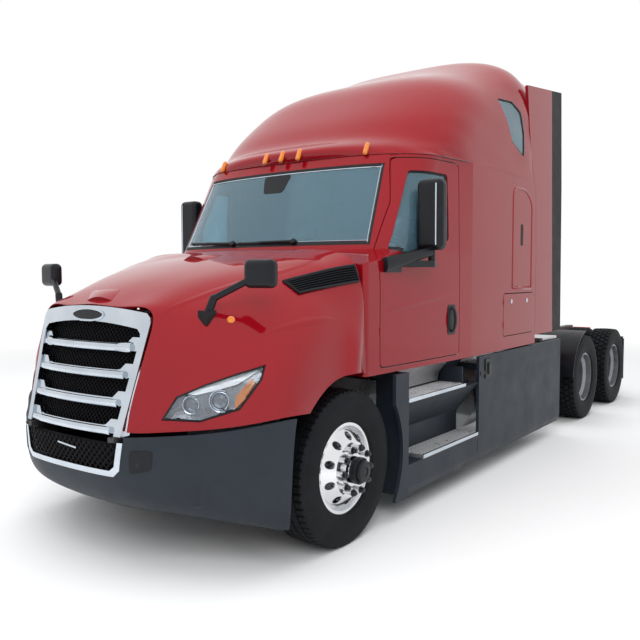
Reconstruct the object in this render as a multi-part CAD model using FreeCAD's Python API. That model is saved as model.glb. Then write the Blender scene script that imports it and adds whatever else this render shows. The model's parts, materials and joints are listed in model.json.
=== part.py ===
import FreeCAD, Part
import math
import os

from FreeCAD import Vector

# Semi truck tractor unit: a sleeper cab on a frame with one steer axle and two drive axles.
# Millimetres. Modelled with y = 0 at the steer axle, the front towards -Y, the driver's side
# at +X and z = 0 on the ground, then moved so that y = 0 is the middle of the length.

# Overall
FRONT_OVERHANG = 1270.0
WHEELBASE = 5790.0
TANDEM_SPREAD = 1320.0
REAR_OVERHANG = 650.0
BODY_HALF = 1220.0
REAR_AXLE_Y = WHEELBASE + TANDEM_SPREAD / 2
MIDDLE_AXLE_Y = WHEELBASE - TANDEM_SPREAD / 2
TAIL_Y = REAR_AXLE_Y + REAR_OVERHANG
NOSE_Y = -FRONT_OVERHANG
TO_MIDDLE = -(NOSE_Y + TAIL_Y) / 2

# Clearances
SEAT_GAP = 0.3
PIN_GAP = 0.4
PANEL_GAP = 8.0
RUNNING_GAP = 6.0

# Tyres and wheels
TYRE_RADIUS = 510.0
TYRE_WIDTH = 292.0
TYRE_BORE = 285.0
WHEEL_Z = 505.0
RIM_HALF = 117.0
RIM_WALL = 12.0
FLANGE_RADIUS = 299.0
DISC_OFFSET = 168.0
DISC_THICK = 22.0
HUB_RADIUS = 105.0
NUT_CIRCLE = 142.5
NUT_COUNT = 10
NUT_RADIUS = 17.0
HAND_HOLE_CIRCLE = 213.0
HAND_HOLE_RADIUS = 26.0
STEER_TYRE_X = 1036.0
DUAL_OUTER_X = 1048.0
DUAL_SPACING = 343.0

# Steering
KINGPIN_X = 880.0
KINGPIN_RADIUS = 25.0
SPINDLE_RADIUS = 40.0
STEER_ARM_BACK = 190.0
STEER_ARM_IN = 0.0
TIE_ROD_Z = 400.0
TIE_ROD_RADIUS = 18.0
BALL_PIN_RADIUS = 12.0

# Drive axles
AXLE_TUBE_RADIUS = 62.0
BANJO_RADIUS = 205.0
NOSE_REACH = 330.0

# Frame
RAIL_X = 432.0
RAIL_FLANGE = 90.0
RAIL_DEPTH = 262.0
RAIL_WALL = 9.0
RAIL_TOP = 1000.0
RAIL_FRONT_Y = -1060.0
RAIL_REAR_Y = TAIL_Y - 40.0
CROSS_MEMBER = 120.0

# Engine
ENGINE_HALF = 330.0
ENGINE_FRONT_Y = -690.0
ENGINE_REAR_Y = 700.0
GEARBOX_REAR_Y = 1500.0

# Cab and sleeper
CAB_FLOOR_Z = 1066.0
COWL_TOP_Z = 1820.0
GLASS_SILL_Z = 1930.0
HEADER_Z = 2655.0
COWL_Y = 222.0
COWL_BOW = 6.0
COWL_CORNER = 40.0
GLASS_FOOT_BOW = 200.0
GLASS_FOOT_CORNER = 250.0
GLASS_BOW = 165.0
GLASS_CORNER = 340.0
GLASS_FOOT_Y = 425.0
GLASS_HEAD_Y = 790.0
CAB_FRONT_HALF = 1158.0
CAB_TAPER_END_Y = 1740.0
SLEEPER_BACK_Y = 3230.0
CAB_WALL = 45.0
DOOR_THICK = 60.0
ROOF_TOP_Z = 3866.0
ROOF_BACK_Y = 3320.0
ROOF_FRONT_WIDTH_POWER = 0.83
ROOF_BACK_WIDTH_POWER = 0.52
ROOF_FRONT_RISE_POWER = 0.535
ROOF_BACK_RISE_POWER = 0.37
ROOF_SWEEP = 0.743
ROOF_FINE_STEPS = 240
ROOF_STEPS = 18
BROW_LEDGE = 12.0
EXTENDER_WALL = 28.0
EXTENDER_FOOT_Z = 1150.0
EXTENDER_SEAM = ((3232.0, 1990.0), (3200.0, 2575.0), (3109.0, 2758.0), (3012.0, 3124.0), (2942.0, 3531.0))
EXTENDER_RED_TOP = (3620.0, 3617.0)
EXTENDER_RED_FOOT_Y = 3750.0
EXTENDER_END = ((3931.0, 3657.0), (3989.0, 2650.0), (4024.0, 1150.0))
GLASS_THICK = 6.0
DOOR_GLASS_INSET = 14.0
CAB_GLASS_INSET = 10.0
FIREWALL_TUNNEL_HALF = 430.0
FIREWALL_TUNNEL_END = 760.0
FIREWALL_TUNNEL_TOP = 1570.0

# Doors
DOOR_FRONT_Y = 402.0
DOOR_REAR_Y = 1522.0
DOOR_FOOT_Z = 1112.0
DOOR_TOP_Z = 2620.0
WINDOW_FOOT_Z = 1900.0
HINGE_BARREL = 7.0
HINGE_PIN = 3.5
HINGE_LENGTH = 60.0
HINGE_HEIGHTS = (1330.0, 1700.0)
BAGGAGE_FRONT_Y = 2420.0
BAGGAGE_REAR_Y = 3165.0
BAGGAGE_FOOT_Z = 1190.0
BAGGAGE_TOP_Z = 1570.0
BAGGAGE_HINGE_HEIGHTS = (1260.0, 1470.0)

# Hood, grille and bumper
HOOD_REAR_Y = 212.0
HOOD_WALL = 14.0
ARCH_RADIUS = 620.0
HOOD_PIVOT_Y = -1235.0
HOOD_PIVOT_Z = 820.0
HOOD_PIN_RADIUS = 8.0
HOOD_ARM_X = 430.0
HOOD_ARM_HALF = 8.0
GRILLE_TOP_Z = 1563.0
GRILLE_FOOT_Z = 838.0
GRILLE_TOP_HALF = 524.0
GRILLE_FOOT_HALF = 462.0
GRILLE_FACE_Y = -1240.0
GRILLE_RAKE = 0.26
GRILLE_BULGE = 0.00019
SURROUND_WIDTH = 52.0
BAR_HEIGHTS = (1330.0, 1180.0, 1025.0, 870.0)
BUMPER_WALL = 14.0
TRIM_FOOT_Z = 605.0
TRIM_TOP_Z = 806.0
LOWER_MESH_TOP_Z = 792.0
TRIM_WIDTH = 34.0

LAMP_PLANE = 45.0
LAMP_DEPTH = 40.0
HOOD_MIRROR_HEAD = (1025.0, -661.0, 1751.0)
HOOD_MIRROR_FOOT = (725.0, -800.0, 1500.0)
MARKER_INNER_X = 172.0
MARKER_OUTER_X = 745.0
MARKER_Z = 2700.0
MARKER_RADIUS = 20.0
MIRROR_X = 1256.0
MIRROR_Y = 962.0
MIRROR_Z = 2180.0

# Side fairings and steps
FAIRING_TOP_Z = 1052.0
FAIRING_FOOT_Z = 150.0
FAIRING_WALL = 26.0
FAIRING_REAR_Y = 4030.0
STEP_END_Y = 1905.0
UPPER_TREAD_Z = 858.0
LOWER_TREAD_Z = 408.0
TREAD_THICK = 26.0
TOE_ROOM = 170.0

# Fifth wheel
FIFTH_WHEEL_Y = WHEELBASE - 100.0
FIFTH_WHEEL_TOP = 1200.0
PLATE_HALF = 457.0
PLATE_THICK = 38.0
PLATE_RADIUS = 430.0
THROAT_RADIUS = 26.0
TILT_PIN_Z = 1112.0
TILT_PIN_RADIUS = 22.0


def box(low, high):
    size = Vector(*high) - Vector(*low)
    return Part.makeBox(size.x, size.y, size.z, Vector(*low))


def rod(start, end, radius):
    start = Vector(*start)
    along = Vector(*end) - start
    return Part.makeCylinder(radius, along.Length, start, along)


def tube(start, end, radius, bore):
    return rod(start, end, radius).cut(rod(start, end, bore))


def polygon(points):
    return Part.Face(Part.makePolygon(points + points[:1]))


def prism_x(outline, low_x, high_x):
    points = [Vector(low_x, y, z) for y, z in outline]
    return polygon(points).extrude(Vector(high_x - low_x, 0, 0))


def prism_y(outline, low_y, high_y):
    points = [Vector(x, low_y, z) for x, z in outline]
    return polygon(points).extrude(Vector(0, high_y - low_y, 0))


def prism_z(outline, low_z, high_z):
    points = [Vector(x, y, low_z) for x, y in outline]
    return polygon(points).extrude(Vector(0, 0, high_z - low_z))


def mirrored(shape):
    return shape.mirror(Vector(0, 0, 0), Vector(1, 0, 0))


def both(shape):
    return Part.makeCompound([shape, mirrored(shape)])


def rounded_outline(corners, radius):
    """Closed wire through the corners in the y-z plane at x = 0, each corner an arc."""
    points = [Vector(0, y, z) for y, z in corners]
    edges = []
    count = len(points)
    starts = []
    ends = []
    for index, corner in enumerate(points):
        before = (points[index - 1] - corner).normalize()
        after = (points[(index + 1) % count] - corner).normalize()
        half = before.getAngle(after) / 2
        reach = radius / math.tan(half)
        centre = corner + (before + after).normalize() * (radius / math.sin(half))
        starts.append(corner + before * reach)
        ends.append(corner + after * reach)
        middle = centre + (corner - centre).normalize() * radius
        edges.append(Part.Arc(starts[-1], middle, ends[-1]).toShape())
    joined = []
    for index in range(count):
        joined.append(edges[index])
        joined.append(Part.makeLine(ends[index], starts[(index + 1) % count]))
    return Part.Wire(Part.__sortEdges__(joined))


def side_cutter(corners, radius, low_x, high_x):
    """Prism along X with rounded corners, outline given as (y, z)."""
    face = Part.Face(rounded_outline(corners, radius))
    face.translate(Vector(low_x, 0, 0))
    return face.extrude(Vector(high_x - low_x, 0, 0))


def surface(rows):
    skin = Part.BSplineSurface()
    skin.interpolate(rows)
    return skin


def between(outer, inner):
    """Solid between two surfaces that have the same grid of points."""
    u0, u1, v0, v1 = outer.bounds()
    faces = [outer.toShape(), inner.toShape()]
    for value in (u0, u1):
        faces.append(Part.makeRuledSurface(outer.uIso(value).toShape(), inner.uIso(value).toShape()))
    for value in (v0, v1):
        faces.append(Part.makeRuledSurface(outer.vIso(value).toShape(), inner.vIso(value).toShape()))
    shell = Part.makeShell(faces)
    shell.sewShape()
    solid = Part.makeSolid(shell)
    if solid.Volume < 0:
        solid.reverse()
    return solid


def symmetric(half_row):
    """Row of points from the left edge over the middle to the right edge."""
    left = [Vector(*point) for point in half_row]
    right = [Vector(-p.x, p.y, p.z) for p in left[1:]]
    return left[::-1] + right


def save(node, shape):
    placed = shape.copy()
    placed.translate(Vector(0, TO_MIDDLE, 0))
    placed.exportStep("parts/" + node + ".step")
    bounds = placed.optimalBoundingBox(True, False)
    print("%-22s %2d solids %8.1f litres  x %.0f..%.0f y %.0f..%.0f z %.0f..%.0f %s" % (
        node, len(placed.Solids), placed.Volume / 1e6, bounds.XMin, bounds.XMax,
        bounds.YMin, bounds.YMax, bounds.ZMin, bounds.ZMax, placed.isValid()))


# Wheels

def revolve_x(profile, centre_x, centre_y):
    """Turn a closed (x, radius) outline about the wheel's axle line."""
    points = [Vector(centre_x + x, centre_y, WHEEL_Z + r) for x, r in profile]
    axle = Vector(centre_x, centre_y, WHEEL_Z)
    return polygon(points).revolve(axle, Vector(1, 0, 0), 360)


def tyre(centre_x, centre_y):
    half = TYRE_WIDTH / 2
    profile = [
        (-half * 0.78, TYRE_BORE), (half * 0.78, TYRE_BORE), (half * 0.78, FLANGE_RADIUS + 2),
        (half * 0.84, FLANGE_RADIUS + 6), (half, TYRE_RADIUS * 0.78),
        (half * 0.93, TYRE_RADIUS * 0.955), (half * 0.78, WHEEL_Z), (-half * 0.78, WHEEL_Z),
        (-half * 0.93, TYRE_RADIUS * 0.955), (-half, TYRE_RADIUS * 0.78),
        (-half * 0.84, FLANGE_RADIUS + 6), (-half * 0.78, FLANGE_RADIUS + 2)]
    return revolve_x(profile, centre_x, centre_y)


def rim(centre_x, centre_y, facing):
    """Rim barrel with its disc; facing is +1 where the disc bulges towards +X."""
    seat = TYRE_BORE - SEAT_GAP
    edge = TYRE_WIDTH / 2 * 0.78
    well = seat - 38
    barrel = [
        (-RIM_HALF, FLANGE_RADIUS), (-edge - 1, FLANGE_RADIUS), (-edge - 1, seat),
        (-60, seat - 4), (-40, well), (30, well), (60, seat - 4), (edge + 1, seat),
        (edge + 1, FLANGE_RADIUS), (RIM_HALF, FLANGE_RADIUS), (RIM_HALF, seat - RIM_WALL),
        (60, seat - RIM_WALL - 4), (30, well - RIM_WALL), (-40, well - RIM_WALL),
        (-60, seat - RIM_WALL - 4), (-RIM_HALF, seat - RIM_WALL)]
    face = DISC_OFFSET
    disc = [
        (60, seat - RIM_WALL), (85, seat - RIM_WALL), (face, 178), (face, HUB_RADIUS - 5),
        (face - DISC_THICK, HUB_RADIUS - 5), (face - DISC_THICK, 172)]
    disc = [(facing * x, r) for x, r in disc]
    shape = revolve_x(barrel, centre_x, centre_y).fuse(revolve_x(disc, centre_x, centre_y))
    holes = []
    for index in range(NUT_COUNT):
        angle = 2 * math.pi * (index + 0.5) / NUT_COUNT
        y = centre_y + HAND_HOLE_CIRCLE * math.cos(angle)
        z = WHEEL_Z + HAND_HOLE_CIRCLE * math.sin(angle)
        start = centre_x + facing * 20
        holes.append(rod((start, y, z), (start + facing * 200, y, z), HAND_HOLE_RADIUS))
    return shape.cut(Part.makeCompound(holes))


def nuts(face_x, centre_y, facing):
    shapes = []
    for index in range(NUT_COUNT):
        angle = 2 * math.pi * index / NUT_COUNT
        y = centre_y + NUT_CIRCLE * math.cos(angle)
        z = WHEEL_Z + NUT_CIRCLE * math.sin(angle)
        shapes.append(rod((face_x - facing * 5, y, z), (face_x + facing * 34, y, z), NUT_RADIUS))
    return shapes


def steer_wheel():
    face_x = STEER_TYRE_X + DISC_OFFSET
    hub = tube((KINGPIN_X + 80 + RUNNING_GAP, 0, WHEEL_Z), (face_x + 20, 0, WHEEL_Z),
               HUB_RADIUS, SPINDLE_RADIUS + PIN_GAP)
    flange = tube((face_x - DISC_THICK - 20, 0, WHEEL_Z), (face_x - DISC_THICK, 0, WHEEL_Z),
                  170, HUB_RADIUS - 10)
    cap = rod((face_x + 20, 0, WHEEL_Z), (face_x + 62, 0, WHEEL_Z), 72)
    parts = [hub, flange, cap] + nuts(face_x, 0, 1)
    return rim(STEER_TYRE_X, 0, 1).multiFuse(parts).removeSplitter()


def drive_wheel(axle_y):
    inner_x = DUAL_OUTER_X - DUAL_SPACING
    outer = rim(DUAL_OUTER_X, axle_y, -1)
    inner = rim(inner_x, axle_y, 1)
    hub = tube((740, axle_y, WHEEL_Z), (1030, axle_y, WHEEL_Z), 118, AXLE_TUBE_RADIUS + PIN_GAP)
    end = rod((1030, axle_y, WHEEL_Z), (1048, axle_y, WHEEL_Z), 95)
    face_x = DUAL_OUTER_X - DISC_OFFSET + DISC_THICK
    return outer.multiFuse([inner, hub, end] + nuts(face_x, axle_y, 1)).removeSplitter()


# Running gear

def knuckle():
    pin = rod((KINGPIN_X, 0, 385), (KINGPIN_X, 0, 625), KINGPIN_RADIUS)
    upper = rod((KINGPIN_X, 0, 565), (KINGPIN_X, 0, 625), 48)
    lower = rod((KINGPIN_X, 0, 385), (KINGPIN_X, 0, 445), 48)
    yoke = box((KINGPIN_X + 60, -45, 385), (KINGPIN_X + 80, 45, 625))
    arms = [box((KINGPIN_X, -40, 565), (KINGPIN_X + 80, 40, 625)),
            box((KINGPIN_X, -40, 385), (KINGPIN_X + 80, 40, 445))]
    spindle = rod((KINGPIN_X + 60, 0, WHEEL_Z), (STEER_TYRE_X + DISC_OFFSET, 0, WHEEL_Z),
                  SPINDLE_RADIUS)
    end = Vector(KINGPIN_X - STEER_ARM_IN, STEER_ARM_BACK, 415)
    arm = prism_z([(KINGPIN_X - 30, 20), (KINGPIN_X + 30, 20), (end.x + 25, end.y), (end.x - 25, end.y)],
                  415, 445)
    eye = rod((end.x, end.y, 415), (end.x, end.y, 445), 28)
    ball_pin = rod((end.x, end.y, TIE_ROD_Z - 30), (end.x, end.y, 420), BALL_PIN_RADIUS)
    return pin.multiFuse([upper, lower, yoke, spindle, arm, eye, ball_pin] + arms).removeSplitter()


def tie_rod():
    end_x = KINGPIN_X - STEER_ARM_IN
    bar = rod((-end_x + 20, STEER_ARM_BACK, TIE_ROD_Z - 14), (end_x - 20, STEER_ARM_BACK, TIE_ROD_Z - 14),
              TIE_ROD_RADIUS)
    eyes = []
    holes = []
    for side in (-1, 1):
        eye_x = side * end_x
        eyes.append(rod((eye_x, STEER_ARM_BACK, TIE_ROD_Z - 28), (eye_x, STEER_ARM_BACK, TIE_ROD_Z), 27))
        gap = PIN_GAP if side == 1 else 2.0
        holes.append(rod((side * end_x, STEER_ARM_BACK, TIE_ROD_Z - 60),
                         (side * end_x, STEER_ARM_BACK, TIE_ROD_Z + 30), BALL_PIN_RADIUS + gap))
    return bar.multiFuse(eyes).cut(Part.makeCompound(holes)).removeSplitter()


def front_axle():
    eye = tube((KINGPIN_X, 0, 447), (KINGPIN_X, 0, 563), 50, KINGPIN_RADIUS + PIN_GAP)
    beam = prism_y([(-800, 470), (-560, 372), (560, 372), (800, 470), (838, 470), (838, 545),
                    (790, 545), (540, 455), (-540, 455), (-790, 545), (-838, 545), (-838, 470)], -42, 42)
    shapes = [eye, mirrored(eye)]
    for side in (1, -1):
        x = side * (RAIL_X - RAIL_FLANGE / 2)
        seat = box((x - 45, -60, 440), (x + 45, 60, 520))
        leaf = prism_x([(-690, 650), (-350, 540), (0, 500), (350, 540), (690, 650), (690, 672),
                        (350, 580), (0, 545), (-350, 580), (-690, 672)], x - 42, x + 42)
        hangers = [box((x - 42, y - 45, 640), (x + 42, y + 45, RAIL_TOP - RAIL_DEPTH)) for y in (-680, 680)]
        shapes += [seat, leaf] + hangers
    return beam.multiFuse(shapes).removeSplitter()


def drive_axle(axle_y):
    reach = 1028.0
    housing = rod((-reach, axle_y, WHEEL_Z), (reach, axle_y, WHEEL_Z), AXLE_TUBE_RADIUS)
    banjo = rod((-95, axle_y, WHEEL_Z), (95, axle_y, WHEEL_Z), BANJO_RADIUS)
    cones = []
    for side in (-1, 1):
        foot = Vector(side * 95, axle_y, WHEEL_Z)
        cones.append(Part.makeCone(BANJO_RADIUS, AXLE_TUBE_RADIUS, 190, foot, Vector(side, 0, 0)))
    nose = rod((0, axle_y - NOSE_REACH, WHEEL_Z + 45), (0, axle_y, WHEEL_Z + 45), 95)
    shapes = [banjo, nose] + cones
    x = RAIL_X - RAIL_FLANGE / 2
    for side in (-1, 1):
        arm = prism_x([(axle_y - 560, 560), (axle_y - 500, 640), (axle_y, 610), (axle_y + 330, 520),
                       (axle_y + 330, 490), (axle_y, 545), (axle_y - 520, 550)],
                      side * x - 35, side * x + 35)
        hanger = box((side * x - 35, axle_y - 560, 560),
                     (side * x + 35, axle_y - 450, RAIL_TOP - RAIL_DEPTH))
        bag = rod((side * x, axle_y + 240, 500), (side * x, axle_y + 240, RAIL_TOP - RAIL_DEPTH), 120)
        shapes += [arm, hanger, bag]
    return housing.multiFuse(shapes).removeSplitter()


def frame():
    shapes = []
    for side in (-1, 1):
        outline = [
            (side * RAIL_X, RAIL_TOP), (side * RAIL_X, RAIL_TOP - RAIL_DEPTH),
            (side * (RAIL_X - RAIL_FLANGE), RAIL_TOP - RAIL_DEPTH),
            (side * (RAIL_X - RAIL_FLANGE), RAIL_TOP - RAIL_DEPTH + RAIL_WALL),
            (side * (RAIL_X - RAIL_WALL), RAIL_TOP - RAIL_DEPTH + RAIL_WALL),
            (side * (RAIL_X - RAIL_WALL), RAIL_TOP - RAIL_WALL),
            (side * (RAIL_X - RAIL_FLANGE), RAIL_TOP - RAIL_WALL),
            (side * (RAIL_X - RAIL_FLANGE), RAIL_TOP)]
        shapes.append(prism_y(outline, RAIL_FRONT_Y, RAIL_REAR_Y))
    inner = RAIL_X - RAIL_WALL
    low = RAIL_TOP - RAIL_DEPTH + RAIL_WALL
    high = RAIL_TOP - RAIL_WALL
    for y in (RAIL_FRONT_Y, 1540, 2400, 3500, MIDDLE_AXLE_Y - 560, WHEELBASE, RAIL_REAR_Y - CROSS_MEMBER):
        shapes.append(box((-inner, y, low + 85), (inner, y + CROSS_MEMBER, high - 20)))
    return shapes[0].multiFuse(shapes[1:]).removeSplitter()


def front_brackets():
    """Brackets that carry the bumper and the hood's hinge pin, ended on the bumper's inner face."""
    foot_z = RAIL_TOP - RAIL_DEPTH
    low_x = HOOD_ARM_X - HOOD_ARM_HALF - RUNNING_GAP - 34
    high_x = HOOD_ARM_X - HOOD_ARM_HALF - RUNNING_GAP
    plate = prism_x([(RAIL_FRONT_Y, foot_z), (RAIL_FRONT_Y, foot_z + 80),
                     (HOOD_PIVOT_Y + 40, HOOD_PIVOT_Z + 11),
                     (HOOD_PIVOT_Y - 12, HOOD_PIVOT_Z + 11), (HOOD_PIVOT_Y - 12, HOOD_PIVOT_Z - 16),
                     (HOOD_PIVOT_Y + 28, HOOD_PIVOT_Z - 18), (HOOD_PIVOT_Y + 60, foot_z)], low_x, high_x)
    reach = box((low_x, NOSE_Y, 500), (RAIL_X + 60, RAIL_FRONT_Y, 560))
    reach = reach.cut(bumper_front_block())
    drop = box((low_x, RAIL_FRONT_Y - 60, 500), (high_x, RAIL_FRONT_Y, foot_z + 5))
    pin = rod((low_x + 5, HOOD_PIVOT_Y, HOOD_PIVOT_Z),
              (HOOD_ARM_X + HOOD_ARM_HALF + 4, HOOD_PIVOT_Y, HOOD_PIVOT_Z),
              HOOD_PIN_RADIUS)
    return both(plate.multiFuse([reach, drop, pin]).removeSplitter())


def engine():
    """One plain block with its sump and mounts, and the radiator standing on the rails."""
    block = box((-ENGINE_HALF, ENGINE_FRONT_Y, 700), (ENGINE_HALF, ENGINE_REAR_Y, 1500))
    sump = box((-300, -560, 560), (300, 420, 700))
    mounts = [box((side * (ENGINE_HALF + 35) - 45, -300, RAIL_TOP + SEAT_GAP),
                  (side * (ENGINE_HALF + 35) + 45, -180, RAIL_TOP + 40)) for side in (-1, 1)]
    radiator = box((-400, -955, RAIL_TOP + SEAT_GAP), (400, -850, 1450))
    lower = box((-325, -895, 700), (325, -850, RAIL_TOP + 20))
    return Part.makeCompound([block.multiFuse([sump] + mounts).removeSplitter(),
                              radiator.fuse(lower).removeSplitter()])


def driveline():
    """Gearbox on the engine's rear face, the shaft to the first drive axle and the link between axles."""
    gearbox = box((-230, ENGINE_REAR_Y, 640), (230, GEARBOX_REAR_Y, 940))
    shaft = rod((0, GEARBOX_REAR_Y - 20, 761), (0, MIDDLE_AXLE_Y - NOSE_REACH + 20, 559), 55)
    shaft = shaft.cut(behind(MIDDLE_AXLE_Y - NOSE_REACH))
    link = rod((0, MIDDLE_AXLE_Y + 150, 560), (0, REAR_AXLE_Y - NOSE_REACH, 560), 50)
    link = link.cut(rod((-200, MIDDLE_AXLE_Y, WHEEL_Z), (200, MIDDLE_AXLE_Y, WHEEL_Z), BANJO_RADIUS))
    return gearbox, shaft, link


def fuel_tanks():
    tank = rod((800, 2080, 640), (800, 3560, 640), 300)
    straps = []
    for y in (2300, 3300):
        straps.append(tube((800, y, 640), (800, y + 60, 640), 308, 299.9))
        straps.append(box((RAIL_X, y, 700), (560, y + 60, 900)))
    box_shape = box((RAIL_X + SEAT_GAP, 760, 470), (930, 1800, 960))
    one = tank.multiFuse(straps).removeSplitter()
    return both(Part.makeCompound([one, box_shape]))


def fifth_wheel_base():
    shapes = [box((-RAIL_X, FIFTH_WHEEL_Y - 330, RAIL_TOP), (RAIL_X, FIFTH_WHEEL_Y + 330, RAIL_TOP + 14))]
    for side in (-1, 1):
        for offset in (-45, 45):
            x = side * 345 + offset
            shapes.append(prism_x([(FIFTH_WHEEL_Y - 150, RAIL_TOP + 14), (FIFTH_WHEEL_Y + 150, RAIL_TOP + 14),
                                   (FIFTH_WHEEL_Y + 35, TILT_PIN_Z + 28), (FIFTH_WHEEL_Y - 35, TILT_PIN_Z + 28)],
                                  x - 9, x + 9))
        shapes.append(rod((side * 345 - 54, FIFTH_WHEEL_Y, TILT_PIN_Z),
                          (side * 345 + 54, FIFTH_WHEEL_Y, TILT_PIN_Z),
                          TILT_PIN_RADIUS))
    return shapes[0].multiFuse(shapes[1:]).removeSplitter()


def fifth_wheel_plate():
    low = FIFTH_WHEEL_TOP - PLATE_THICK
    disc = Part.makeCylinder(PLATE_RADIUS + 40, PLATE_THICK, Vector(0, FIFTH_WHEEL_Y - 20, low))
    sides = box((-PLATE_HALF, FIFTH_WHEEL_Y - 420, low), (PLATE_HALF, FIFTH_WHEEL_Y + 470, FIFTH_WHEEL_TOP))
    plate = disc.common(sides)
    ramp = prism_z([(-PLATE_HALF + 60, FIFTH_WHEEL_Y + 250), (-150, FIFTH_WHEEL_Y + 560),
                    (150, FIFTH_WHEEL_Y + 560), (PLATE_HALF - 60, FIFTH_WHEEL_Y + 250)], low, FIFTH_WHEEL_TOP)
    throat = prism_z([(-THROAT_RADIUS, FIFTH_WHEEL_Y), (THROAT_RADIUS, FIFTH_WHEEL_Y),
                      (THROAT_RADIUS, FIFTH_WHEEL_Y + 130), (190, FIFTH_WHEEL_Y + 600),
                      (-190, FIFTH_WHEEL_Y + 600), (-THROAT_RADIUS, FIFTH_WHEEL_Y + 130)],
                     low - 1, FIFTH_WHEEL_TOP + 1)
    bore = rod((0, FIFTH_WHEEL_Y, low - 1), (0, FIFTH_WHEEL_Y, FIFTH_WHEEL_TOP + 1), THROAT_RADIUS)
    plate = plate.fuse(ramp).cut(throat).cut(bore)
    ears = []
    for side in (-1, 1):
        ear = prism_x([(FIFTH_WHEEL_Y - 60, low + 2), (FIFTH_WHEEL_Y - 30, TILT_PIN_Z - 34),
                       (FIFTH_WHEEL_Y + 30, TILT_PIN_Z - 34), (FIFTH_WHEEL_Y + 60, low + 2)],
                      side * 345 - 28, side * 345 + 28)
        ears.append(ear.cut(rod((side * 345 - 60, FIFTH_WHEEL_Y, TILT_PIN_Z),
                                (side * 345 + 60, FIFTH_WHEEL_Y, TILT_PIN_Z),
                                TILT_PIN_RADIUS + PIN_GAP)))
    return plate.multiFuse(ears).removeSplitter()


def deck_plate():
    top = box((-1165, 3620, 1058), (1165, 4060, 1082))
    bearers = [box((-RAIL_X, y, RAIL_TOP), (RAIL_X, y + 60, 1058)) for y in (3660, 3960)]
    return top.multiFuse(bearers).removeSplitter()


def mudflaps():
    flap = box((730, TAIL_Y - 14, 250), (1150, TAIL_Y, 830))
    hanger = box((RAIL_X, TAIL_Y - 60, 800), (1140, TAIL_Y - 14, 860))
    return both(flap.fuse(hanger).removeSplitter())


def quarter_fenders():
    y = MIDDLE_AXLE_Y
    ring = tube((740, y, WHEEL_Z), (1205, y, WHEEL_Z), TYRE_RADIUS + 68, TYRE_RADIUS + 58)
    front = prism_x([(y - 700, 560), (y - 100, 560), (y - 100, 1200), (y - 700, 1200)], 700, 1260)
    bracket = box((RAIL_X, y - 420, 880), (760, y - 380, 925))
    arc = ring.common(front)
    return both(arc.fuse(bracket))


def tail_lamps():
    shapes = []
    for x in (RAIL_X + 75, RAIL_X + 195):
        shapes.append(rod((x, TAIL_Y - 14, 920), (x, TAIL_Y - 46, 920), 52))
    backing = box((RAIL_X + 10, TAIL_Y - 58, 860 + SEAT_GAP), (RAIL_X + 255, TAIL_Y - 46, 975))
    return both(backing.multiFuse(shapes))


# Body skins

def evenly(points, steps):
    """Pick points at even spacing along a fine polyline."""
    lengths = [0.0]
    for before, here in zip(points, points[1:]):
        lengths.append(lengths[-1] + (here - before).Length)
    picked = []
    for step in range(steps + 1):
        wanted = lengths[-1] * step / steps
        nearest = min(range(len(points)), key=lambda index: abs(lengths[index] - wanted))
        picked.append(points[nearest])
    picked[-1] = points[-1]
    return picked


def roof_arch(half, rise, width_power, rise_power):
    """Fine polyline of an arch as (x, height, lift), from its crown to its foot."""
    points = []
    for step in range(ROOF_FINE_STEPS + 1):
        share = (1 - math.cos(math.pi * step / ROOF_FINE_STEPS)) / 2
        angle = math.pi / 2 * (1 - math.cos(math.pi * share)) / 2
        lift = 0.0 if step == ROOF_FINE_STEPS else math.cos(angle)
        points.append((Vector(math.sin(angle) ** width_power * half, lift ** rise_power * rise, 0), lift))
    return points


def brow_row(inset):
    """Front edge of the roof: the cab's own front curve, standing out by the brow's ledge."""
    curves = front_curves(HEADER_Z, GLASS_HEAD_Y, GLASS_BOW, GLASS_CORNER, inset)
    fine = ROOF_FINE_STEPS
    points = [curves[0].value(0.5 - 0.5 * step / fine) for step in range(fine)]
    points += [curves[1].value(1 - float(step) / fine) for step in range(fine + 1)]
    row = []
    for point in evenly(points, ROOF_STEPS):
        share = (point.x / CAB_FRONT_HALF) ** 2
        row.append((point.x + BROW_LEDGE * share, point.y - BROW_LEDGE * (1 - share), HEADER_Z))
    return row


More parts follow.
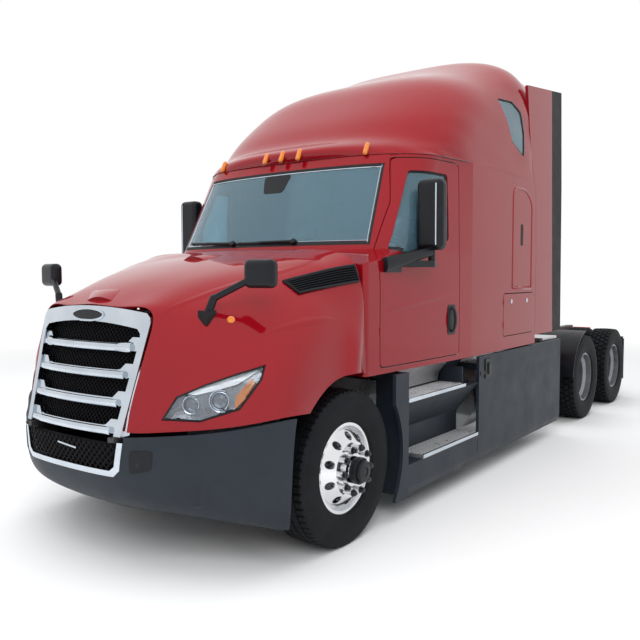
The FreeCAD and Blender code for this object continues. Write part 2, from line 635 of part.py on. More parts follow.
def roof_rows(inset):
    """Rows from the windscreen header back to the rear edge, each an arch from side to side."""
    stations = [
        # side foot y, crown y, crown z, half width at the foot, sweep of the plan
        (1331.0, 805.0, 2745.0, 1180.0, 1.3), (1420.0, 945.0, 2810.0, 1192.0, 1.11),
        (1550.0, 1104.0, 2950.0, 1210.0, 0.93), (1746.0, 1365.0, 3180.0, BODY_HALF, ROOF_SWEEP),
        (2000.0, 1696.0, 3422.0, BODY_HALF, ROOF_SWEEP), (2320.0, 2153.0, 3585.0, BODY_HALF, ROOF_SWEEP),
        (2700.0, 2616.0, 3760.0, BODY_HALF, ROOF_SWEEP), (3080.0, 3020.0, 3846.0, BODY_HALF, ROOF_SWEEP),
        (ROOF_BACK_Y, ROOF_BACK_Y, ROOF_TOP_Z, BODY_HALF, ROOF_SWEEP)]
    rows = [symmetric(brow_row(inset))]
    for index, (foot_y, crown_y, crown_z, half, sweep) in enumerate(stations):
        back_share = (index + 1.0) / len(stations)
        width_power = ROOF_FRONT_WIDTH_POWER + (ROOF_BACK_WIDTH_POWER - ROOF_FRONT_WIDTH_POWER) * back_share
        rise_power = ROOF_FRONT_RISE_POWER + (ROOF_BACK_RISE_POWER - ROOF_FRONT_RISE_POWER) * back_share
        arch = roof_arch(half - inset, crown_z - HEADER_Z - inset, width_power, rise_power)
        lifts = dict((point.x, lift) for point, lift in arch)
        row = []
        for point in evenly([point for point, lift in arch], ROOF_STEPS):
            y = foot_y + (crown_y - foot_y) * lifts[point.x] ** sweep
            if crown_y < ROOF_BACK_Y - 60:
                y += inset * 0.9
            row.append((point.x, y, HEADER_Z + point.y))
        row[0] = (0.0, row[0][1], row[0][2])
        rows.append(symmetric(row))
    return rows


def snap_edges(skin, foot_z, back_y, half):
    """Set the skin's border exactly on the foot plane, the side planes and the back plane."""
    for u in range(1, skin.NbUPoles + 1):
        for v in range(1, skin.NbVPoles + 1):
            pole = skin.getPole(u, v)
            if u == 1 or v in (1, skin.NbVPoles):
                pole.z = foot_z
            if v in (1, skin.NbVPoles) and pole.y > CAB_TAPER_END_Y:
                pole.x = math.copysign(half, pole.x)
            if u == skin.NbUPoles:
                pole.y = back_y
            skin.setPole(u, v, pole)


def roof_solid(inset):
    skin = surface(roof_rows(inset))
    snap_edges(skin, HEADER_Z, ROOF_BACK_Y, BODY_HALF - inset)
    u0, u1, v0, v1 = skin.bounds()
    front = skin.uIso(u0).toShape()
    back = skin.uIso(u1).toShape()
    left = skin.vIso(v0).toShape()
    right = skin.vIso(v1).toShape()
    foot_line = Part.makeLine(Vector(-(BODY_HALF - inset), ROOF_BACK_Y, HEADER_Z),
                              Vector(BODY_HALF - inset, ROOF_BACK_Y, HEADER_Z))
    foot = Part.Face(Part.Wire(Part.__sortEdges__([front, left, right, foot_line])))
    rear = Part.Face(Part.Wire(Part.__sortEdges__([back, foot_line])))
    shell = Part.makeShell([skin.toShape(), foot, rear])
    shell.sewShape()
    solid = Part.makeSolid(shell)
    if solid.Volume < 0:
        solid.reverse()
    return solid


def front_curves(z, front_y, bow, corner_reach, inset):
    """Front bow of the cab's plan, from the driver's corner to the other, and the driver's corner curve."""
    half = CAB_FRONT_HALF - inset
    front = front_y + inset
    corner = Vector(half - corner_reach * 0.7, front + bow, z)
    side = Vector(half, front + bow + corner_reach, z)
    corner_curve = Part.BezierCurve()
    corner_curve.setPoles([side, Vector(half - corner_reach * 0.02, front + bow + corner_reach * 0.45, z),
                           Vector(half - corner_reach * 0.3, front + bow * 1.5, z), corner])
    front_curve = Part.BezierCurve()
    front_curve.setPoles([corner, Vector(half - 330, front + bow * 0.2, z), Vector(0, front - bow * 0.3, z),
                          Vector(-half + 330, front + bow * 0.2, z), Vector(-corner.x, corner.y, z)])
    return front_curve, corner_curve


def cab_outline(z, front_y, bow, corner_reach, inset):
    """Closed plan outline at one height: front bow, corner curves, tapered sides and the back."""
    wide = BODY_HALF - inset
    back = ROOF_BACK_Y
    front_curve, left_corner = front_curves(z, front_y, bow, corner_reach, inset)
    side = left_corner.getPoles()[0]
    taper = Vector(wide, CAB_TAPER_END_Y, z)
    right_corner = Part.BezierCurve()
    right_corner.setPoles([Vector(-p.x, p.y, p.z) for p in left_corner.getPoles()][::-1])
    edges = [
        front_curve.toShape(), right_corner.toShape(),
        Part.makeLine(Vector(-side.x, side.y, z), Vector(-taper.x, taper.y, z)),
        Part.makeLine(Vector(-taper.x, taper.y, z), Vector(-wide, back, z)),
        Part.makeLine(Vector(-wide, back, z), Vector(wide, back, z)),
        Part.makeLine(Vector(wide, back, z), taper),
        Part.makeLine(taper, side), left_corner.toShape()]
    return Part.Wire(edges)


def cab_lower_solid(inset):
    levels = [(CAB_FLOOR_Z + inset, COWL_Y, COWL_BOW, COWL_CORNER),
              (COWL_TOP_Z, COWL_Y, COWL_BOW, COWL_CORNER),
              (GLASS_SILL_Z, GLASS_FOOT_Y - 20, GLASS_FOOT_BOW, GLASS_FOOT_CORNER),
              (HEADER_Z, GLASS_HEAD_Y, GLASS_BOW, GLASS_CORNER)]
    wires = [cab_outline(z, y, bow, reach, inset) for z, y, bow, reach in levels]
    return Part.makeLoft(wires, True, True)


def whole_body(inset):
    """Cab, sleeper and roof as one solid, inset by a wall thickness."""
    return cab_lower_solid(inset).fuse(roof_solid(inset))


def behind(y, low_z=0, high_z=5000):
    return box((-2000, y, low_z), (2000, 9000, high_z))


def door_outline(grow):
    """Door edge as (y, z); the upper front follows the screen pillar."""
    front = DOOR_FRONT_Y - grow
    rear = DOOR_REAR_Y + grow
    foot = DOOR_FOOT_Z - grow
    top = DOOR_TOP_Z + grow
    return [(front, foot), (rear, foot), (rear, top), (940 - grow, top), (812 - grow, 2280),
            (606 - grow, 1925), (front, 1830)]


def window_outline(grow):
    foot = WINDOW_FOOT_Z - grow
    rear = 1364 + grow
    return [(655 - grow, foot + 4), (800, foot - 6), (rear, foot + 112),
            (rear, 2522 + grow), (976 - grow, 2522 + grow), (728 - grow, 2032)]


def left_half():
    return box((300, -500, 500), (2000, 6000, 4500))


def side_x(y):
    """Outer x of the cab's side below the belt at a station y."""
    start = COWL_Y + COWL_BOW + COWL_CORNER
    share = (y - start) / (CAB_TAPER_END_Y - start)
    return CAB_FRONT_HALF + (BODY_HALF - CAB_FRONT_HALF) * min(max(share, 0), 1)


def door_sill_cutter():
    """What lies inside the door's thickness at the cab's floor, which stays with the cab."""
    ends = (DOOR_FRONT_Y - 2 * PANEL_GAP, DOOR_REAR_Y + 2 * PANEL_GAP)
    front, rear = [(side_x(y) - DOOR_THICK + 2, y) for y in ends]
    return prism_z([(BODY_HALF / 2, ends[0]), front, rear, (BODY_HALF / 2, ends[1])], 0,
                   CAB_FLOOR_Z + DOOR_THICK + SEAT_GAP)


def barrels(x, y, heights, low, high):
    """Hinge knuckles on a vertical axis, from low to high above each hinge's foot."""
    return [rod((x, y, z + low), (x, y, z + high), HINGE_BARREL) for z in heights]


def hinge_sleeves(x, y, heights, low, high):
    return [rod((x, y, z + low - 3), (x, y, z + high + 3), HINGE_BARREL + 2.5) for z in heights]


UPPER_WINDOW = [(2340, 3305), (2640, 3325), (2800, 3255), (2885, 3080),
                (2862, 2850), (2800, 2862), (2576, 2950)]
DOOR_HINGE_Y = DOOR_FRONT_Y - PANEL_GAP / 2
BAGGAGE_HINGE_Y = BAGGAGE_FRONT_Y - PANEL_GAP / 2


def main():
    os.makedirs("parts", exist_ok=True)
    body = whole_body(0)
    inner = whole_body(CAB_WALL)
    door_inner = whole_body(DOOR_THICK)
    build_body(body, inner, door_inner)
    build_front()
    build_chassis()
    build_wheels()
    build_interior()


def hinged_panel(layer, cutter, hinge_x, hinge_y, heights):
    """A panel cut from the body's layer, with its hinge barrels, and what it takes from the body."""
    panel = layer.common(cutter)
    third = HINGE_LENGTH / 3
    panel = panel.cut(Part.makeCompound(
        hinge_sleeves(hinge_x, hinge_y, heights, 0, third)
        + hinge_sleeves(hinge_x, hinge_y, heights, 2 * third, 3 * third)))
    bore = [rod((hinge_x, hinge_y, z - 5), (hinge_x, hinge_y, z + HINGE_LENGTH + 5), HINGE_PIN + PIN_GAP)
            for z in heights]
    middle = barrels(hinge_x, hinge_y, heights, third + 0.5, 2 * third - 0.5)
    panel = panel.multiFuse(middle)
    return panel.cut(Part.makeCompound(bore))


def hinge_for_body(shell, hinge_x, hinge_y, heights):
    third = HINGE_LENGTH / 3
    shell = shell.cut(Part.makeCompound(hinge_sleeves(hinge_x, hinge_y, heights, third, 2 * third)))
    parts = barrels(hinge_x, hinge_y, heights, 0, third)
    parts += barrels(hinge_x, hinge_y, heights, 2 * third, 3 * third)
    parts += [rod((hinge_x, hinge_y, z), (hinge_x, hinge_y, z + HINGE_LENGTH), HINGE_PIN) for z in heights]
    return shell.multiFuse(parts)


def build_body(body, inner, door_inner):
    cab_end = behind(SLEEPER_BACK_Y)
    below = box((-2000, -2000, 0), (2000, 9000, HEADER_Z))
    above = box((-2000, -2000, HEADER_Z + SEAT_GAP), (2000, 9000, 5000))
    hollow = inner.cut(behind(SLEEPER_BACK_Y - CAB_WALL))
    tunnel = box((-FIREWALL_TUNNEL_HALF - 25, 0, 0), (FIREWALL_TUNNEL_HALF + 25, FIREWALL_TUNNEL_END + 25,
                                                      FIREWALL_TUNNEL_TOP + 25))
    hollow = hollow.cut(tunnel)
    opening = box((-FIREWALL_TUNNEL_HALF, 0, 0),
                  (FIREWALL_TUNNEL_HALF, FIREWALL_TUNNEL_END, FIREWALL_TUNNEL_TOP))
    shell = body.cut(cab_end).cut(hollow).cut(opening)

    door_layer = body.cut(door_inner).common(left_half())
    door_cut = side_cutter(door_outline(0), 40, 900, 1400)
    door_hole = side_cutter(door_outline(PANEL_GAP), 44, 900, 1400)
    window_cut = side_cutter(window_outline(0), 30, 900, 1400)
    hinge_x = side_x(DOOR_HINGE_Y)
    door = hinged_panel(door_layer, door_cut, hinge_x, DOOR_HINGE_Y, HINGE_HEIGHTS)
    glass = window_cut.common(whole_body(DOOR_GLASS_INSET)).cut(whole_body(DOOR_GLASS_INSET + GLASS_THICK))
    door = door.cut(window_cut).cut(door_sill_cutter())

    baggage_cut = side_cutter([(BAGGAGE_FRONT_Y, BAGGAGE_FOOT_Z), (BAGGAGE_REAR_Y, BAGGAGE_FOOT_Z),
                               (BAGGAGE_REAR_Y, BAGGAGE_TOP_Z), (BAGGAGE_FRONT_Y, BAGGAGE_TOP_Z)], 30, 900, 1400)
    gap = PANEL_GAP
    baggage_hole = side_cutter([(BAGGAGE_FRONT_Y - gap, BAGGAGE_FOOT_Z - gap),
                                (BAGGAGE_REAR_Y + gap, BAGGAGE_FOOT_Z - gap),
                                (BAGGAGE_REAR_Y + gap, BAGGAGE_TOP_Z + gap),
                                (BAGGAGE_FRONT_Y - gap, BAGGAGE_TOP_Z + gap)], 36, 900, 1400)
    baggage = hinged_panel(body.cut(inner).common(left_half()), baggage_cut, BODY_HALF, BAGGAGE_HINGE_Y,
                           BAGGAGE_HINGE_HEIGHTS)

    upper_hole = side_cutter(UPPER_WINDOW, 24, 700, 1400)
    screen_hole = screen_cutter()
    cab_shell = shell.common(below)
    roof_cap = shell.common(above)
    holes = [door_hole, mirrored(door_hole), baggage_hole, mirrored(baggage_hole), screen_hole]
    cab_shell = cab_shell.cut(Part.makeCompound(holes[:4])).cut(screen_hole)
    for side in (1, -1):
        if side == -1:
            cab_shell = mirrored(cab_shell)
        cab_shell = hinge_for_body(cab_shell, hinge_x, DOOR_HINGE_Y, HINGE_HEIGHTS)
        cab_shell = hinge_for_body(cab_shell, BODY_HALF, BAGGAGE_HINGE_Y, BAGGAGE_HINGE_HEIGHTS)
    pads = []
    for y in (FIREWALL_TUNNEL_END + 40, SLEEPER_BACK_Y - 200):
        low = (RAIL_X - RAIL_FLANGE + 5, y, RAIL_TOP + SEAT_GAP)
        pads.append(both(box(low, (RAIL_X - 5, y + 120, CAB_FLOOR_Z))))
    cab_shell = cab_shell.multiFuse([solid for pad in pads for solid in pad.Solids])
    roof_cap = roof_cap.cut(upper_hole).cut(mirrored(upper_hole))
    recess = extender_prism(PANEL_GAP / 2, EXTENDER_WALL + SEAT_GAP, 60)
    roof_cap = roof_cap.cut(recess).cut(mirrored(recess))
    cab_shell = cab_shell.cut(recess).cut(mirrored(recess))
    save("cab_shell", cab_shell)
    save("roof_cap", roof_cap)
    save("door_left", door)
    save("door_right", mirrored(door))
    save("door_glass_left", glass)
    save("door_glass_right", mirrored(glass))
    save("baggage_door_left", baggage)
    save("baggage_door_right", mirrored(baggage))
    glass_outer = whole_body(CAB_GLASS_INSET)
    glass_inner = whole_body(CAB_GLASS_INSET + GLASS_THICK)
    screen = screen_hole.common(glass_outer).cut(glass_inner)
    upper = upper_hole.common(glass_outer).cut(glass_inner)
    save("cab_glass", Part.makeCompound([screen, upper, mirrored(upper)]))

    red = extender_prism(0, EXTENDER_WALL, 0)
    brackets = [box((BODY_HALF - 110, SLEEPER_BACK_Y + SEAT_GAP, z),
                    (BODY_HALF - EXTENDER_WALL, SLEEPER_BACK_Y + 70, z + 40))
                for z in (1300, 1900, 2500)]
    save("extenders", both(red.multiFuse(brackets)))
    save("extender_rubber", both(extender_rubber()))
    build_marker_lamps(body)
    build_mirrors()


def extender_prism(grow, depth, outside):
    """The red part of a side extender, from its seam back to the dark edge, grown at the seam and foot."""
    foot_z = EXTENDER_FOOT_Z - grow
    seam = [(EXTENDER_SEAM[0][0] - grow, foot_z)] + [(y - grow, z) for y, z in EXTENDER_SEAM]
    back = [EXTENDER_RED_TOP, (EXTENDER_RED_FOOT_Y, foot_z)]
    return prism_x(seam + back, BODY_HALF - depth, BODY_HALF + outside)


def extender_rubber():
    """The dark flexible edge behind the red panel."""
    outline = [(EXTENDER_RED_FOOT_Y, EXTENDER_FOOT_Z), EXTENDER_RED_TOP] + list(EXTENDER_END)
    return prism_x(outline, BODY_HALF - EXTENDER_WALL, BODY_HALF - 4)


def build_marker_lamps(body):
    """Five amber lamps on the brow above the windscreen."""
    lamps = []
    for x in (-MARKER_OUTER_X, -MARKER_INNER_X, 0.0, MARKER_INNER_X, MARKER_OUTER_X):
        probe = body.common(rod((x, 600, MARKER_Z), (x, 1300, MARKER_Z), 4))
        top = probe.optimalBoundingBox(True, False).YMin
        foot = Vector(x, top - 18, MARKER_Z - 32)
        head = Vector(x, top + 14, MARKER_Z + 30)
        lamp = rod(foot, head, MARKER_RADIUS)
        lamp = lamp.multiFuse([Part.makeSphere(MARKER_RADIUS, foot), Part.makeSphere(MARKER_RADIUS, head)])
        lamps.append(lamp.cut(body))
    save("marker_lamps", Part.makeCompound(lamps))


def build_mirrors():
    """Main mirror on its arm in front of the door's window, ended on the door's skin."""
    head = box((MIRROR_X - 105, MIRROR_Y - 60, MIRROR_Z - 256),
               (MIRROR_X + 105, MIRROR_Y + 60, MIRROR_Z + 256))
    head = head.makeFillet(45, head.Edges)
    foot = box((1120, 440, 1762), (1190, 640, 1862))
    arm = prism_z([(1150, 450), (1190, 450), (MIRROR_X + 40, MIRROR_Y - 30),
                   (MIRROR_X + 20, MIRROR_Y + 40), (1150, 640)], 1800, 1846)
    riser = rod((MIRROR_X, MIRROR_Y, 1815), (MIRROR_X, MIRROR_Y, MIRROR_Z - 200), 26)
    upper = rod((MIRROR_X, MIRROR_Y, MIRROR_Z), (MIRROR_X - 90, MIRROR_Y, MIRROR_Z), 20)
    mirror = head.multiFuse([foot, arm, riser, upper]).cut(whole_body(-SEAT_GAP))
    save("mirror_left", mirror)
    save("mirror_right", mirrored(mirror))


def screen_cutter():
    """Windscreen opening, cut through the raked front of the cab."""
    corners = [(-897, 2580), (897, 2580), (952, 1962), (-952, 1962)]
    return prism_y(corners, 200, 1060)


def grille_y(x, z):
    """Face of the grille: raked back with height and bowed in plan."""
    return GRILLE_FACE_Y + GRILLE_RAKE * (z - GRILLE_FOOT_Z) + GRILLE_BULGE * x * x


def grille_slab(front, back):
    def grid(offset):
        rows = []
        for z in (500, 800, 1100, 1400, 1700):
            rows.append([Vector(x, grille_y(x, z) + offset, z) for x in range(-700, 701, 140)])
        return surface(rows)
    return between(grid(front), grid(back))


def grille_outline(shrink, top_shrink=0.0):
    top = GRILLE_TOP_HALF - shrink
    foot = GRILLE_FOOT_HALF - shrink
    crown = GRILLE_TOP_Z - shrink - top_shrink
    left = []
    for step in range(9):
        x = top * 0.93 * math.sin(math.pi / 2 * step / 8)
        left.append((x, crown - 42 * (x / top) ** 2))
    corner = [(top - 8, crown - 62), (top, crown - 92), (foot, GRILLE_FOOT_Z)]
    right_half = left + corner
    left_half_points = [(-x, z) for x, z in right_half[::-1][:-1]]
    return right_half + left_half_points


HOOD_ROWS = [
    # Each row runs from the middle of the hood over the shoulder and fender to the lower edge.
    [(0, -1062, 1572), (280, -1050, 1560), (530, -1030, 1494), (526, -1075, 1340), (512, -1115, 1200),
     (498, -1155, 1060), (488, -1180, 950), (480, -1192, 862)],
    [(0, -965, 1618), (300, -958, 1606), (572, -930, 1536), (640, -965, 1390), (660, -1010, 1225),
     (662, -1045, 1080), (658, -1068, 965), (652, -1084, 866)],
    [(0, -800, 1690), (330, -798, 1672), (632, -785, 1586), (760, -835, 1445), (820, -880, 1265),
     (838, -925, 1110), (838, -950, 990), (832, -968, 880)],
    [(0, -600, 1756), (370, -600, 1738), (730, -588, 1644), (880, -665, 1500), (970, -740, 1335),
     (1015, -795, 1160), (1028, -825, 1020), (1028, -846, 908)],
    [(0, -390, 1812), (400, -390, 1796), (830, -382, 1696), (985, -440, 1560), (1080, -540, 1405),
     (1140, -645, 1220), (1160, -700, 1050), (1162, -722, 938)],
    [(0, -190, 1858), (430, -190, 1842), (925, -187, 1736), (1060, -225, 1595), (1140, -295, 1455),
     (1190, -400, 1270), (1208, -480, 1080), (1208, -540, 942)],
    [(0, 0, 1897), (470, 0, 1882), (1010, 0, 1776), (1100, 0, 1625), (1160, -20, 1470),
     (1204, -60, 1280), (1214, -120, 1080), (1218, -180, 942)],
    [(0, HOOD_REAR_Y, 1932), (500, HOOD_REAR_Y, 1922), (1076, HOOD_REAR_Y, 1826), (1126, HOOD_REAR_Y, 1650),
     (1152, HOOD_REAR_Y, 1480), (1168, HOOD_REAR_Y, 1280), (1172, HOOD_REAR_Y, 1080),
     (1172, HOOD_REAR_Y, 942)]]


def inward(rows, depth):
    """Rows moved inwards, down and back by a wall's thickness."""
    moved = []
    for index, row in enumerate(rows):
        new = []
        for x, y, z in row:
            share = abs(x) / BODY_HALF
            back = depth * (1 - index / (len(rows) - 1.0)) * (0.4 + 0.6 * (1 - share))
            down = depth if z > 1500 else depth * 0.3
            new.append((x - depth * share, y + back, z - down if index or z > 1500 else z))
        moved.append(new)
    return moved


def hood_surface(depth):
    return surface([symmetric(row) for row in inward(HOOD_ROWS, depth)])


def lamp_outline(grow):
    """Headlamp outline seen square on, as (along the corner, up), grown about its middle."""
    points = [(-310, 933), (-225, 1064), (-63, 1133), (114, 1194),
              (277, 1241), (252, 1158), (126, 995), (-94, 924)]
    middle_u = sum(point[0] for point in points) / len(points)
    middle_z = sum(point[1] for point in points) / len(points)
    scale_u = 1 + grow / 283.0
    scale_z = 1 + grow / 141.0
    return [(middle_u + (u - middle_u) * scale_u, middle_z + (z - middle_z) * scale_z) for u, z in points]


def lamp_prism(grow):
    turn = math.radians(LAMP_PLANE)
    along = Vector(math.cos(turn), math.sin(turn), 0)
    outwards = Vector(math.sin(turn), -math.cos(turn), 0)
    points = [along * u + Vector(0, 0, z) + outwards * 1000 for u, z in lamp_outline(grow)]
    return polygon(points).extrude(outwards * 800)


def headlamps():
    layer = between(hood_surface(0), hood_surface(LAMP_DEPTH))
    return both(layer.common(lamp_prism(-5)))


def hood():
    shell = between(hood_surface(0), hood_surface(HOOD_WALL))
    arch = rod((-2000, 0, WHEEL_Z), (2000, 0, WHEEL_Z), ARCH_RADIUS)
    shell = shell.cut(arch)
    lamp = lamp_prism(0)
    shell = shell.cut(lamp).cut(mirrored(lamp))
    liner = tube((700, 0, WHEEL_Z), (1400, 0, WHEEL_Z), ARCH_RADIUS + 10, ARCH_RADIUS)
    liner = liner.common(box((780, -700, 950), (1400, HOOD_REAR_Y, 2000)))
    thick = between(hood_surface(5), hood_surface(400))
    return shell, liner.common(thick)


def lamp_seats():
    """Ledges inside the hood that carry the headlamps."""
    layer = between(hood_surface(LAMP_DEPTH + SEAT_GAP), hood_surface(LAMP_DEPTH + 8))
    back = layer.common(lamp_prism(12))
    walls = between(hood_surface(HOOD_WALL - 2), hood_surface(LAMP_DEPTH + 8))
    walls = walls.common(lamp_prism(12).cut(lamp_prism(0)))
    return back, walls


def hood_mirrors():
    """Convex mirrors on arms that stand on the hood's front corners."""
    head = box((-102, -45, -82), (102, 40, 82))
    head = head.makeFillet(36, head.Edges)
    head.rotate(Vector(0, 0, 0), Vector(0, 0, 1), 8)
    head.translate(Vector(*HOOD_MIRROR_HEAD))
    x, y, z = HOOD_MIRROR_FOOT
    elbow = (x + 40, y + 20, z + 110)
    arm = rod(HOOD_MIRROR_FOOT, elbow, 24)
    reach = rod(elbow, HOOD_MIRROR_HEAD, 20)
    joint = Part.makeSphere(24, Vector(*elbow))
    foot = box((x - 30, y - 40, z - 40), (x + 40, y + 40, z + 40))
    mirror = arm.multiFuse([reach, joint, foot, head])
    thick = between(hood_surface(-SEAT_GAP), hood_surface(300))
    return both(mirror.cut(thick))


def hood_hinges():
    """Plates with an eye on the pivot, seated under the side frames of the grille surround."""
    top = GRILLE_FOOT_Z - SEAT_GAP
    low_x = HOOD_ARM_X - HOOD_ARM_HALF
    high_x = HOOD_ARM_X + HOOD_ARM_HALF
    arm = prism_x([(HOOD_PIVOT_Y - 6, HOOD_PIVOT_Z), (HOOD_PIVOT_Y + 12, HOOD_PIVOT_Z - 8),
                   (HOOD_PIVOT_Y + 62, top), (HOOD_PIVOT_Y + 10, top)], low_x, high_x)
    eye = rod((low_x, HOOD_PIVOT_Y, HOOD_PIVOT_Z), (high_x, HOOD_PIVOT_Y, HOOD_PIVOT_Z),
              HOOD_PIN_RADIUS * 2)
    bore = rod((low_x - 1, HOOD_PIVOT_Y, HOOD_PIVOT_Z), (high_x + 1, HOOD_PIVOT_Y, HOOD_PIVOT_Z),
               HOOD_PIN_RADIUS + PIN_GAP)
    return both(arm.fuse(eye).cut(bore))


BUMPER_ROWS = [
    # Half outlines (x, y, z) from the middle to the side end, from the foot up.
    [(0, -1030, 350), (300, -1010, 348), (520, -930, 340), (800, -790, 312), (1000, -690, 290),
     (1120, -640, 282), (1172, -600, 280)],
    [(0, -1130, 410), (300, -1110, 407), (520, -1040, 400), (800, -880, 376), (1000, -765, 356),
     (1130, -680, 347), (1188, -610, 346)],
    [(0, -1215, 490), (300, -1200, 490), (500, -1150, 490), (800, -970, 490), (1010, -840, 490),
     (1150, -725, 490), (1206, -620, 490)],
    [(0, -1258, 640), (300, -1246, 645), (490, -1205, 650), (800, -1018, 662), (1015, -882, 676),
     (1160, -740, 694), (1212, -610, 700)],
    [(0, NOSE_Y, 826), (300, -1258, 828), (484, -1214, 836), (800, -1016, 856), (1015, -878, 886),
     (1165, -725, 920), (1214, -575, 926)]]


def bumper_surface(offset):
    rows = []
    for row in BUMPER_ROWS:
        moved = []
        for x, y, z in row:
            share = x / BODY_HALF
            moved.append((x - offset * share, y + offset * math.sqrt(max(1 - share * share, 0)), z))
        rows.append(symmetric(moved))
    return surface(rows)


def bumper_front_block():
    """Everything in front of the bumper's inner face, used to end what meets that face."""
    front = [symmetric([(x, y - 400, z) for x, y, z in row]) for row in BUMPER_ROWS]
    return between(surface(front), bumper_surface(BUMPER_WALL))


def trim_outline(shrink, above=0.0):
    lean = 28.0 / (TRIM_TOP_Z - TRIM_FOOT_Z - 40 - shrink * 0.6)
    outline = [(478 - shrink + above * lean, TRIM_TOP_Z + above),
               (450 - shrink, TRIM_FOOT_Z + 40 + shrink * 0.6),
               (405 - shrink * 0.7, TRIM_FOOT_Z + shrink)]
    mirror_side = [(-x, z) for x, z in outline[::-1]]
    return outline + mirror_side


def build_front():
    shell, liner = hood()
    back, walls = lamp_seats()
    pieces = [liner, mirrored(liner), back, mirrored(back), walls, mirrored(walls)]
    grille_room = grille_slab(-40, 48 + 2 * SEAT_GAP)
    grille_room = grille_room.common(prism_y(grille_outline(-SEAT_GAP), -1500, -700))
    save("hood", shell.multiFuse(pieces).cut(grille_room))
    save("headlamps", headlamps())
    save("hood_mirrors", hood_mirrors())
    surround = grille_slab(-22, 40)
    ring = prism_y(grille_outline(0), -1500, -700).cut(
        prism_y(grille_outline(SURROUND_WIDTH, 38.0) , -1500, -700))
    half = GRILLE_FOOT_HALF - SURROUND_WIDTH
    foot_open = prism_y([(-half, GRILLE_FOOT_Z - 10), (half, GRILLE_FOOT_Z - 10),
                         (half, GRILLE_FOOT_Z + 12), (-half, GRILLE_FOOT_Z + 12)],
                        -1500, -700)
    surround = surround.common(ring.cut(foot_open))
    bar_slab = grille_slab(-8, 26)
    bars = []
    for z in BAR_HEIGHTS:
        half = grille_half(z) - SURROUND_WIDTH + 6
        outline = [(half, z - 20), (half, z + 58), (half - 62, z + 58), (half - 100, z + 20),
                   (-half + 100, z + 20), (-half + 62, z + 58), (-half, z + 58), (-half, z - 20)]
        bars.append(bar_slab.common(prism_y(outline, -1500, -700)))
    save("grille_surround", surround.multiFuse(bars))
    mesh_slab = grille_slab(40 + SEAT_GAP, 48)
    save("grille_mesh", mesh_slab.common(prism_y(grille_outline(8), -1500, -700)))
    save("hood_hinges", hood_hinges())

    shell = between(bumper_surface(0), bumper_surface(BUMPER_WALL))
    opening = prism_y(trim_outline(0), -1500, -900)
    top_open = box((-478, -1500, TRIM_TOP_Z - 5), (478, -900, 900))
    shell = shell.cut(opening).cut(top_open)
    save("bumper", shell)
    trim_slab = between(bumper_surface(-6), bumper_surface(22))
    trim = trim_slab.common(prism_y(trim_outline(SEAT_GAP), -1500, -900)).cut(
        prism_y(trim_outline(TRIM_WIDTH, 20.0), -1500, -900))
    save("bumper_trim", trim)
    mesh = between(bumper_surface(8), bumper_surface(16))
    low_mesh = mesh.common(prism_y(trim_outline(TRIM_WIDTH + SEAT_GAP), -1500, -900))
    save("bumper_grille", low_mesh.common(box((-600, -1500, 0), (600, 0, LOWER_MESH_TOP_Z))))


def grille_half(z):
    share = (z - GRILLE_FOOT_Z) / (GRILLE_TOP_Z - 92 - GRILLE_FOOT_Z)
    return GRILLE_FOOT_HALF + (GRILLE_TOP_HALF - GRILLE_FOOT_HALF) * share


def side_fairing():
    """Lower side panel: closing panel, recessed steps' wall and the long rear panel."""
    wall = FAIRING_WALL
    rear = prism_y([(BODY_HALF - wall, 215), (BODY_HALF - wall - 30, FAIRING_FOOT_Z),
                    (BODY_HALF - 28, FAIRING_FOOT_Z),
                    (BODY_HALF, 215), (BODY_HALF, FAIRING_TOP_Z), (BODY_HALF - wall, FAIRING_TOP_Z)],
                   STEP_END_Y, FAIRING_REAR_Y)
    low = LOWER_TREAD_Z - TREAD_THICK
    high = UPPER_TREAD_Z - TREAD_THICK
    toe = LOWER_TREAD_Z + TOE_ROOM
    middle = prism_y([
        (BODY_HALF, 215), (BODY_HALF, low), (1010, low), (1010, toe), (BODY_HALF - 18, high - 20),
        (BODY_HALF, high), (980, high), (980, UPPER_TREAD_Z + 60), (1080, FAIRING_TOP_Z),
        (1080 - wall, FAIRING_TOP_Z), (954, UPPER_TREAD_Z + 60), (954, high - wall), (1170, high - wall),
        (984, toe + 12), (984, low - wall), (BODY_HALF - wall, low - wall), (BODY_HALF - wall, 215),
        (BODY_HALF - wall - 30, FAIRING_FOOT_Z), (BODY_HALF - 28, FAIRING_FOOT_Z)],
        700, STEP_END_Y)
    front = box((960, 520, FAIRING_FOOT_Z), (BODY_HALF, 700, FAIRING_TOP_Z))
    front = front.cut(box((0, 0, 0), (BODY_HALF - wall, 700 - wall, 3000)))
    arch = rod((900, 0, WHEEL_Z), (1400, 0, WHEEL_Z), ARCH_RADIUS)
    brackets = [box((RAIL_X, y, 930), (BODY_HALF - wall, y + 50, 980)) for y in (1960, 3900)]
    return rear.multiFuse([middle, front] + brackets).cut(arch).removeSplitter()


def steps():
    upper = box((980, 700, UPPER_TREAD_Z - TREAD_THICK + SEAT_GAP), (BODY_HALF, 1640, UPPER_TREAD_Z))
    lower = box((1010, 920, LOWER_TREAD_Z - TREAD_THICK + SEAT_GAP), (BODY_HALF, 1890, LOWER_TREAD_Z))
    return both(Part.makeCompound([upper, lower]))


